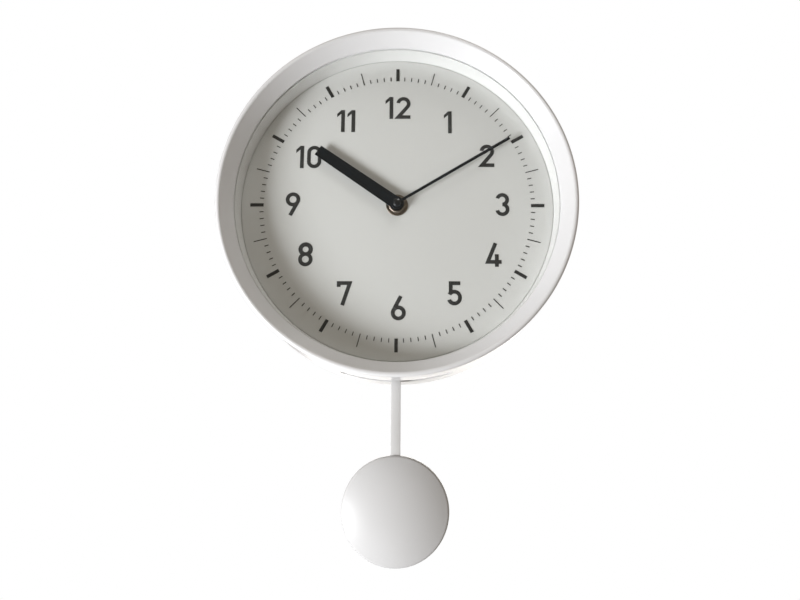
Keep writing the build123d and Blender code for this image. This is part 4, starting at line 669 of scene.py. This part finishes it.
class CLOCK_OT_finishes(Operator):
    """Builds the shared shader groups"""
    bl_idname = "clock.finishes"
    bl_label = "Shared finishes"

    def execute(self, context):
        make_grain_group()
        make_dust_group()
        make_rings_group()
        make_brush_group()
        return {"FINISHED"}


class CLOCK_OT_case(Operator):
    """Turns the case and cuts the pendulum slot in its side wall"""
    bl_idname = "clock.case"
    bl_label = "Case"

    def execute(self, context):
        size = context.scene.clock_case
        lip_front = size.wall_back - size.taper
        shoulder_out = size.depth - size.lip_round
        bezel_out = lip_front - size.lip_width
        shoulder_in = size.depth - size.inner_drop
        ledge_face = shoulder_in - size.bezel_drop
        ledge_in = bezel_out - size.bezel_width
        skirt_in = node_radius("lens") + size.lens_gap
        skirt_end = node_depths("dial_plate")[0]
        wall_in_front = size.wall_back - size.taper * size.hollow / shoulder_out - size.wall
        crest = ((lip_front + bezel_out) / 2, size.depth)
        outline = [
            (size.wall_back - size.wall_edge, 0.0),
            (size.wall_back, size.wall_edge),
            (lip_front + size.taper * 0.5, shoulder_out * 0.5),
            (lip_front, shoulder_out),
        ]
        outline += through_points((lip_front, shoulder_out), crest, (bezel_out, shoulder_in), steps=12)
        outline += [
            (bezel_out - 0.3 * MM, shoulder_in - 0.35 * MM),
            (ledge_in + 0.25 * MM, ledge_face + 0.3 * MM),
            (ledge_in, ledge_face),
            (ledge_in, ledge_face - size.ledge),
            (skirt_in, ledge_face - size.ledge),
            (skirt_in, skirt_end),
            (skirt_in + size.skirt, skirt_end),
            (skirt_in + size.skirt, size.hollow),
            (wall_in_front, size.hollow),
            (size.wall_back - size.wall, 0.0),
        ]
        case = turn_profile("case", outline, segments=size.segments)
        slot_front = size.slot_back + size.slot_width
        slot_round = size.slot_width / 2
        slot_end = size.slot_half - slot_round
        bottom = -size.wall_back
        below, above = 5 * MM, 25 * MM      # the cutter's reach past the side wall, both ways
        cutter = start_block(
            "slot cutter",
            (-slot_end, -slot_front, bottom - below),
            (slot_end, -size.slot_back, bottom + above),
        )
        for side in (-1, 1):
            deselect_all()
            bpy.ops.mesh.primitive_cylinder_add(
                vertices=48, radius=slot_round, depth=below + above,
                location=(side * slot_end, -size.slot_back - slot_round, bottom + (above - below) / 2),
            )
            boolean(cutter, settle("slot end"), "UNION")
        boolean(case, cutter, "DIFFERENCE")
        smooth(case, 30)
        paint = lacquer("Body lacquer", size.paint, 0.34, grain=700.0, grain_height=0.03, coat=0.25)
        finish_piece(case, paint, "case", "case_shell")
        return {"FINISHED"}


class CLOCK_OT_ring_and_lens(Operator):
    """Turns the white ring over the dial and the clear lens in front of it"""
    bl_idname = "clock.ring_and_lens"
    bl_label = "Ring and lens"

    def execute(self, context):
        size = context.scene.clock_case
        back, front = node_depths("spacer_ring")
        outer = node_radius("spacer_ring")
        ledge_in = size.wall_back - size.taper - size.lip_width - size.bezel_width
        inner = ledge_in - size.ring_overhang
        ease = 0.25 * MM
        outline = [
            (inner + ease, back),
            (inner, back + ease),
            (inner + size.ring_slope, front),
            (outer, front),
            (outer, back),
        ]
        ring = turn_profile("inner_ring", outline, segments=size.segments)
        smooth(ring, 30)
        white = lacquer("Ring white", size.ring, 0.5, grain=900.0, grain_height=0.02)
        finish_piece(ring, white, "case", "spacer_ring")

        back, front = node_depths("lens")
        radius = node_radius("lens")
        pane = start_disc("lens_pane", (0, 0), back, front, radius, size.segments)
        soften(pane, 0.3 * MM, 2)
        pick(pane)
        bpy.ops.object.shade_flat()
        finish_piece(pane, clear_lens_material(), "case", "lens")
        return {"FINISHED"}


class CLOCK_OT_dial(Operator):
    """Finishes the dial, its print and the nut and washer in its middle"""
    bl_idname = "clock.dial"
    bl_label = "Dial"

    def execute(self, context):
        look = context.scene.clock_dial
        back, front = node_depths("dial_plate")
        edge = node_radius("dial_plate")
        groove = edge - look.groove_inset
        slope = look.groove_width * 0.2
        bore = node_radius("threaded_bushing") - look.bushing_lip + look.bore_gap
        dial = turn_profile(
            "dial",
            [(bore, back), (edge, back), (edge, front), (groove + look.groove_width, front),
             (groove + look.groove_width - slope, front - look.groove_depth),
             (groove + slope, front - look.groove_depth),
             (groove, front), (bore, front)],
        )
        smooth(dial, 30)
        ground = lacquer(
            "Dial ground", look.paper, 0.62, grain=1600.0, grain_height=0.015, dust=0.12, drift=0.012
        )
        finish_piece(dial, ground, "case", "dial_plate")
        coat_nodes(
            lacquer("Dial ink", look.ink, 0.55, grain=1500.0, grain_height=0.01, dust=0.1, drift=0.2),
            "hour_numerals", "minute_track",
        )
        back, front = node_depths("dial_washer")
        outer = node_radius("dial_washer")
        bore = look.washer_bore
        rim = outer - look.washer_rim
        floor = front - look.washer_recess
        edge = 0.2 * MM
        ease = 0.3 * MM
        washer = turn_profile(
            "centre_washer",
            [(bore, back), (outer, back), (outer, front - edge), (outer - edge, front), (rim, front),
             (rim - edge, floor), (bore + ease, floor), (bore, front - ease)],
            segments=96,
        )
        smooth(washer, 30)
        bronze = metal("Dark bronze", look.bronze, 0.36, group="Turned rings", height=0.006, tarnish=0.3)
        finish_piece(washer, bronze, "case", "dial_washer")

        back, front = node_depths("fixing_nut")
        outer = node_radius("fixing_nut")
        bore = look.nut_bore
        edge = look.nut_edge
        nut = turn_profile(
            "centre_nut",
            [(bore, back), (outer, back), (outer, front - edge), (outer - edge, front),
             (bore + edge, front), (bore, front - edge)],
            segments=96,
        )
        half = look.notch_width / 2
        notch = start_block(
            "notch", (-outer - MM, -front - MM, -half), (outer + MM, -front + look.notch_depth, half)
        )
        boolean(nut, notch, "DIFFERENCE")
        smooth(nut, 30)
        finish_piece(nut, bronze, "case", "fixing_nut")
        coat_nodes(metal("Bushing brass", BRASS, 0.32, group="Turned rings"), "threaded_bushing")
        return {"FINISHED"}


def hand_blade(name, node, hub, root, tip, edge, clockwise):
    """A flat tapered blade on a round hub, pointing at a clockwise angle from twelve."""
    back, front = node_depths(node)
    turn = math.radians(90 - clockwise)
    direction = Vector((math.cos(turn), 0, math.sin(turn)))
    reach = max(direction.dot(vertex.co) for vertex in CAD_NODES[node].data.vertices)
    blade = start_block(name, (0, -front, -root / 2), (reach, -back, root / 2))
    bpy.ops.object.mode_set(mode="EDIT")
    bpy.ops.mesh.select_all(action="DESELECT")
    bpy.ops.object.mode_set(mode="OBJECT")
    for vertex in blade.data.vertices:
        vertex.select = vertex.co.x > reach / 2
    bpy.ops.object.mode_set(mode="EDIT")
    bpy.ops.transform.resize(value=(1, 1, tip / root), center_override=(reach, -front, 0))
    bpy.ops.mesh.select_all(action="SELECT")
    bpy.ops.transform.rotate(value=turn, orient_axis="Y", center_override=(0, 0, 0))
    bpy.ops.object.mode_set(mode="OBJECT")
    boolean(blade, start_disc("hub", (0, 0), back, front, hub, 96), "UNION")
    soften(blade, edge, 2, angle=40)
    return blade


class CLOCK_OT_hands(Operator):
    """Models the hour hand, the minute hand and the cap over them"""
    bl_idname = "clock.hands"
    bl_label = "Hands"

    def execute(self, context):
        size = context.scene.clock_hands
        black = lacquer("Hand lacquer", size.lacquer, 0.42, grain=1400.0, grain_height=0.01, sheen=0.1,
                        coat=0.15, dust=0.12, drift=0.15)
        hour = hand_blade("hour_blade", "hour_hand", size.hour_hub, size.hour_root, size.hour_tip,
                          size.edge, HOUR_ANGLE)
        finish_piece(hour, black, "hour_train", "hour_hand")
        minute = hand_blade("minute_blade", "minute_hand", size.minute_hub, size.minute_root,
                            size.minute_tip, size.edge, MINUTE_ANGLE)
        finish_piece(minute, black, "minute_train", "minute_hand")

        back, front = node_depths("minute_hand_cap")
        radius = node_radius("minute_hand_cap")
        rim = back + size.cap_rim
        outline = [(POLE, back), (radius, back), (radius, rim)]
        for degrees in range(10, 90, 10):
            angle = math.radians(degrees)
            outline.append((radius * math.cos(angle), rim + (front - rim) * math.sin(angle)))
        outline.append((POLE, front))
        cap = turn_profile("hand_cap", outline, segments=64, closed=False)
        close_poles(cap)
        smooth(cap, 50)
        gloss = lacquer("Cap black", size.lacquer, 0.25, grain=900.0, grain_height=0.008, coat=0.3, dust=0.1)
        finish_piece(cap, gloss, "minute_train", "minute_hand_cap")
        coat_nodes(metal("Arbor brass", BRASS, 0.3, group="Turned rings"), "minute_arbor")
        return {"FINISHED"}


class CLOCK_OT_pendulum(Operator):
    """Models the rod and the bob, and finishes the leader and its magnet"""
    bl_idname = "clock.pendulum"
    bl_label = "Pendulum"

    def execute(self, context):
        size = context.scene.clock_pendulum
        low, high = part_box("pendulum_rod")
        rod = start_block("rod_strip", low, high)
        soften(rod, 0.25 * MM, 3)
        rod_paint = lacquer(
            "Rod lacquer", size.rod, 0.3, grain=900.0, grain_height=0.015, coat=0.2, drift=0.02
        )
        finish_piece(rod, rod_paint, "pendulum", "pendulum_rod")

        low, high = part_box("bob_front_shell")
        at = (0.0, (low.z + high.z) / 2)
        back, front = node_depths("bob_front_shell")
        radius = (high.z - low.z) / 2
        rim = back + size.skirt
        sphere = (radius ** 2 + (front - rim) ** 2) / (2 * (front - rim))
        drop = front - sphere

        def dome(distance, inset=0.0):
            """The dome's depth at a distance from its middle, or its inside's."""
            return drop + math.sqrt((sphere - inset) ** 2 - distance ** 2)

        edge_r = radius - size.rounding
        knee = (radius - size.rounding * 0.28, rim - size.rounding * 0.05)      # a point of the rounding
        outer = [
            (radius - size.rim_edge, back),
            (radius, back + size.rim_edge),
            (radius, rim - size.rounding),
        ]
        outer += through_points(outer[-1], knee, (edge_r, dome(edge_r)), steps=6)
        outer_steps = 14
        for step in range(1, outer_steps):
            distance = edge_r * (1 - step / outer_steps)
            outer.append((distance, dome(distance)))
        outer.append((POLE, dome(POLE)))
        inner_r = radius - size.shell
        inner_steps = 10
        inner = [(POLE, dome(POLE, size.shell))]
        for step in range(1, inner_steps):
            distance = inner_r * step / inner_steps
            inner.append((distance, dome(distance, size.shell)))
        inner.append((inner_r, back))
        bob = turn_profile("bob_dome", inner + outer, at=at, segments=160, closed=False)
        close_poles(bob)
        rod_low, rod_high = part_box("pendulum_rod")
        gap = size.notch_gap
        top = at[1] + radius
        notch = start_block(
            "rod notch",
            (rod_low.x - gap, rod_low.y - gap, top - size.notch_reach),
            (rod_high.x + gap, -back + MM, top + size.notch_reach),
        )
        boolean(bob, notch, "DIFFERENCE")
        smooth(bob, 32)
        bob_paint = lacquer(
            "Bob lacquer", size.bob, 0.4, grain=700.0, grain_height=0.02, coat=0.1, drift=0.02
        )
        finish_piece(bob, bob_paint, "pendulum", "bob_front_shell")

        back, front = node_depths("bob_back_plate")
        radius = node_radius("bob_back_plate")
        bore = size.plate_bore
        pressed = back + size.plate_recess
        plate = turn_profile(
            "bob_back",
            [(bore, back), (radius * 0.5, back), (radius * 0.52, pressed), (radius - 3 * MM, pressed),
             (radius - 2.4 * MM, back), (radius - size.plate_recess, back), (radius, pressed),
             (radius, front), (bore, front)],
            at=at, segments=128,
        )
        smooth(plate, 30)
        finish_piece(plate, bob_paint, "pendulum", "bob_back_plate")
        coat_nodes(metal("Plain steel", (0.42, 0.42, 0.42), 0.4), "bob_weight", "bob_rivet")
        coat_nodes(lacquer("Leader plastic", (0.6, 0.6, 0.57), 0.45), "pendulum_leader")
        coat_nodes(metal("Sintered magnet", (0.09, 0.09, 0.095), 0.5), "drive_magnet", "rotor")
        return {"FINISHED"}


class CLOCK_OT_back(Operator):
    """Finishes the rear cover, the hanger and their screws"""
    bl_idname = "clock.back"
    bl_label = "Back"

    def execute(self, context):
        look = context.scene.clock_case
        coat_nodes(
            lacquer("Cover plastic", look.cover, 0.5, grain=1000.0, grain_height=0.08, dust=0.5),
            "rear_cover",
        )
        # The support plate is near black so that the hollow seen through the pendulum slot reads dark:
        # painted shade.
        coat_nodes(
            lacquer("Plate plastic", (0.05, 0.05, 0.05), 0.55, grain_height=0.05), "dial_support_plate"
        )
        coat_nodes(
            metal("Zinc plate", (0.6, 0.61, 0.62), 0.34),
            "hanger_plate", "hanger_rivets", "support_plate_screws", "rear_cover_screws", "drive_screws",
        )
        return {"FINISHED"}


class CLOCK_OT_movement(Operator):
    """Finishes the movement, its wheels, the battery and the pendulum drive"""
    bl_idname = "clock.movement"
    bl_label = "Movement"

    def execute(self, context):
        black = lacquer(
            "Movement black", (0.018, 0.018, 0.02), 0.5, grain_height=0.08, dust=0.6, drift=0.2
        )
        coat_nodes(
            black, "movement_front_housing", "movement_rear_housing",
            "pendulum_drive_housing", "pendulum_drive_cover",
        )
        coat_nodes(lacquer("Bridge plastic", (0.66, 0.65, 0.6), 0.45), "train_bridge")
        coat_nodes(
            lacquer("Wheel acetal", (0.7, 0.69, 0.62), 0.35, dust=0.1),
            "minute_wheel", "hour_wheel", "centre_wheel", "third_wheel", "fourth_wheel", "fifth_wheel",
        )
        coat_nodes(lacquer("Knob plastic", (0.62, 0.62, 0.6), 0.42, grain_height=0.04), "set_knob")
        coat_nodes(metal("Soft iron", (0.45, 0.45, 0.45), 0.42), "stator")
        coat_nodes(metal("Plated can", (0.7, 0.7, 0.68), 0.25), "quartz_crystal")
        coat_nodes(metal("Nickel strip", (0.65, 0.63, 0.57), 0.28), "positive_contact", "negative_contact")
        coat_nodes(metal("Polished pin", (0.66, 0.66, 0.67), 0.22), "leader_pivot_pin", "pivot_clip")
        coat_nodes(copper_coil_material(), "motor_coil", "drive_coil")
        coat_nodes(board_material(), "circuit_board", "drive_board")
        coat_nodes(lacquer("Lead sleeve", (0.35, 0.02, 0.015), 0.5), "lead_wires")
        coat_nodes(cell_material(), "battery_aa")
        return {"FINISHED"}


def area_light(name, place, aim, width, height, power, tint):
    """A rectangular soft light that points at a spot on the clock."""
    lamp = bpy.data.lights.new(name, "AREA")
    lamp.shape = "RECTANGLE"
    lamp.size = width
    lamp.size_y = height
    lamp.energy = power
    lamp.color = tint
    holder = bpy.data.objects.new(name, lamp)
    bpy.context.scene.collection.objects.link(holder)
    holder.location = place
    holder.rotation_euler = (Vector(aim) - Vector(place)).to_track_quat("-Z", "Y").to_euler()


class CLOCK_OT_stage(Operator):
    """Sets up the camera, the floor, the room's light and the lamps"""
    bl_idname = "clock.stage"
    bl_label = "Stage"

    def execute(self, context):
        scene = context.scene
        view = scene.clock_stage
        dial_face = node_depths("dial_plate")[1]
        lens = bpy.data.cameras.new("Camera")
        lens.lens = view.lens
        lens.sensor_width = 36
        lens.clip_start = 0.01
        camera = bpy.data.objects.new("Camera", lens)
        scene.collection.objects.link(camera)
        aim = (
            Matrix.Rotation(view.turn, 4, "Z")
            @ Matrix.Rotation(math.pi / 2 + view.tilt, 4, "X")
            @ Matrix.Rotation(view.roll, 4, "Z")
        )
        place = Vector((view.camera_x, -dial_face - view.camera_gap, view.camera_z))
        camera.matrix_world = Matrix.Translation(place) @ aim
        scene.camera = camera

        deselect_all()
        drop = cad_low.z - view.floor_drop
        bpy.ops.mesh.primitive_plane_add(size=FLOOR_SIZE, location=(0, -FLOOR_AHEAD, drop))
        floor = settle("floor")
        floor.data.materials.append(
            lacquer("Floor", view.floor, 0.7, grain=300.0, grain_height=0.1, dust=0.0, drift=0.01)
        )

        for name, place, aim, width, height, setting, tint in LAMPS:
            area_light(name, place, aim, width, height, getattr(view, setting), tint)

        world = bpy.data.worlds.new("Room")
        scene.world = world
        world.use_nodes = True
        tree = world.node_tree
        tree.nodes.clear()
        sink = tree.nodes.new("ShaderNodeOutputWorld")
        seen = tree.nodes.new("ShaderNodeBackground")
        seen.inputs["Color"].default_value = (1, 1, 1, 1)
        around = tree.nodes.new("ShaderNodeBackground")
        around.inputs["Color"].default_value = (*view.room, 1)
        around.inputs["Strength"].default_value = view.ambient
        path = tree.nodes.new("ShaderNodeLightPath")
        pick_one = tree.nodes.new("ShaderNodeMixShader")
        tree.links.new(path.outputs["Is Camera Ray"], pick_one.inputs["Fac"])
        tree.links.new(around.outputs[0], pick_one.inputs[1])
        tree.links.new(seen.outputs[0], pick_one.inputs[2])
        tree.links.new(pick_one.outputs[0], sink.inputs["Surface"])
        scene.view_settings.view_transform = "Standard"
        return {"FINISHED"}


OPERATORS = (
    CLOCK_OT_finishes,
    CLOCK_OT_case,
    CLOCK_OT_ring_and_lens,
    CLOCK_OT_dial,
    CLOCK_OT_hands,
    CLOCK_OT_pendulum,
    CLOCK_OT_back,
    CLOCK_OT_movement,
    CLOCK_OT_stage,
)


class CLOCK_PT_panel(Panel):
    """Lists the clock's pieces and the stage"""
    bl_label = "Pendulum Wall Clock"
    bl_idname = "CLOCK_PT_panel"
    bl_space_type = "VIEW_3D"
    bl_region_type = "UI"
    bl_category = "Clock"

    def draw(self, context):
        for operator in OPERATORS:
            self.layout.operator(operator.bl_idname)
        for name, group in SETTINGS.items():
            box = self.layout.box()
            for prop in group.__annotations__:
                box.prop(getattr(context.scene, name), prop)


def register():
    for group in SETTINGS.values():
        bpy.utils.register_class(group)
    for name, group in SETTINGS.items():
        setattr(bpy.types.Scene, name, PointerProperty(type=group))
    for operator in OPERATORS:
        bpy.utils.register_class(operator)
    bpy.utils.register_class(CLOCK_PT_panel)


def unregister():
    bpy.utils.unregister_class(CLOCK_PT_panel)
    for operator in reversed(OPERATORS):
        bpy.utils.unregister_class(operator)
    for name, group in SETTINGS.items():
        delattr(bpy.types.Scene, name)
        bpy.utils.unregister_class(group)


def main():
    register()
    for operator in OPERATORS:
        family, name = operator.bl_idname.split(".")
        getattr(getattr(bpy.ops, family), name)()


if __name__ == "__main__":
    main()
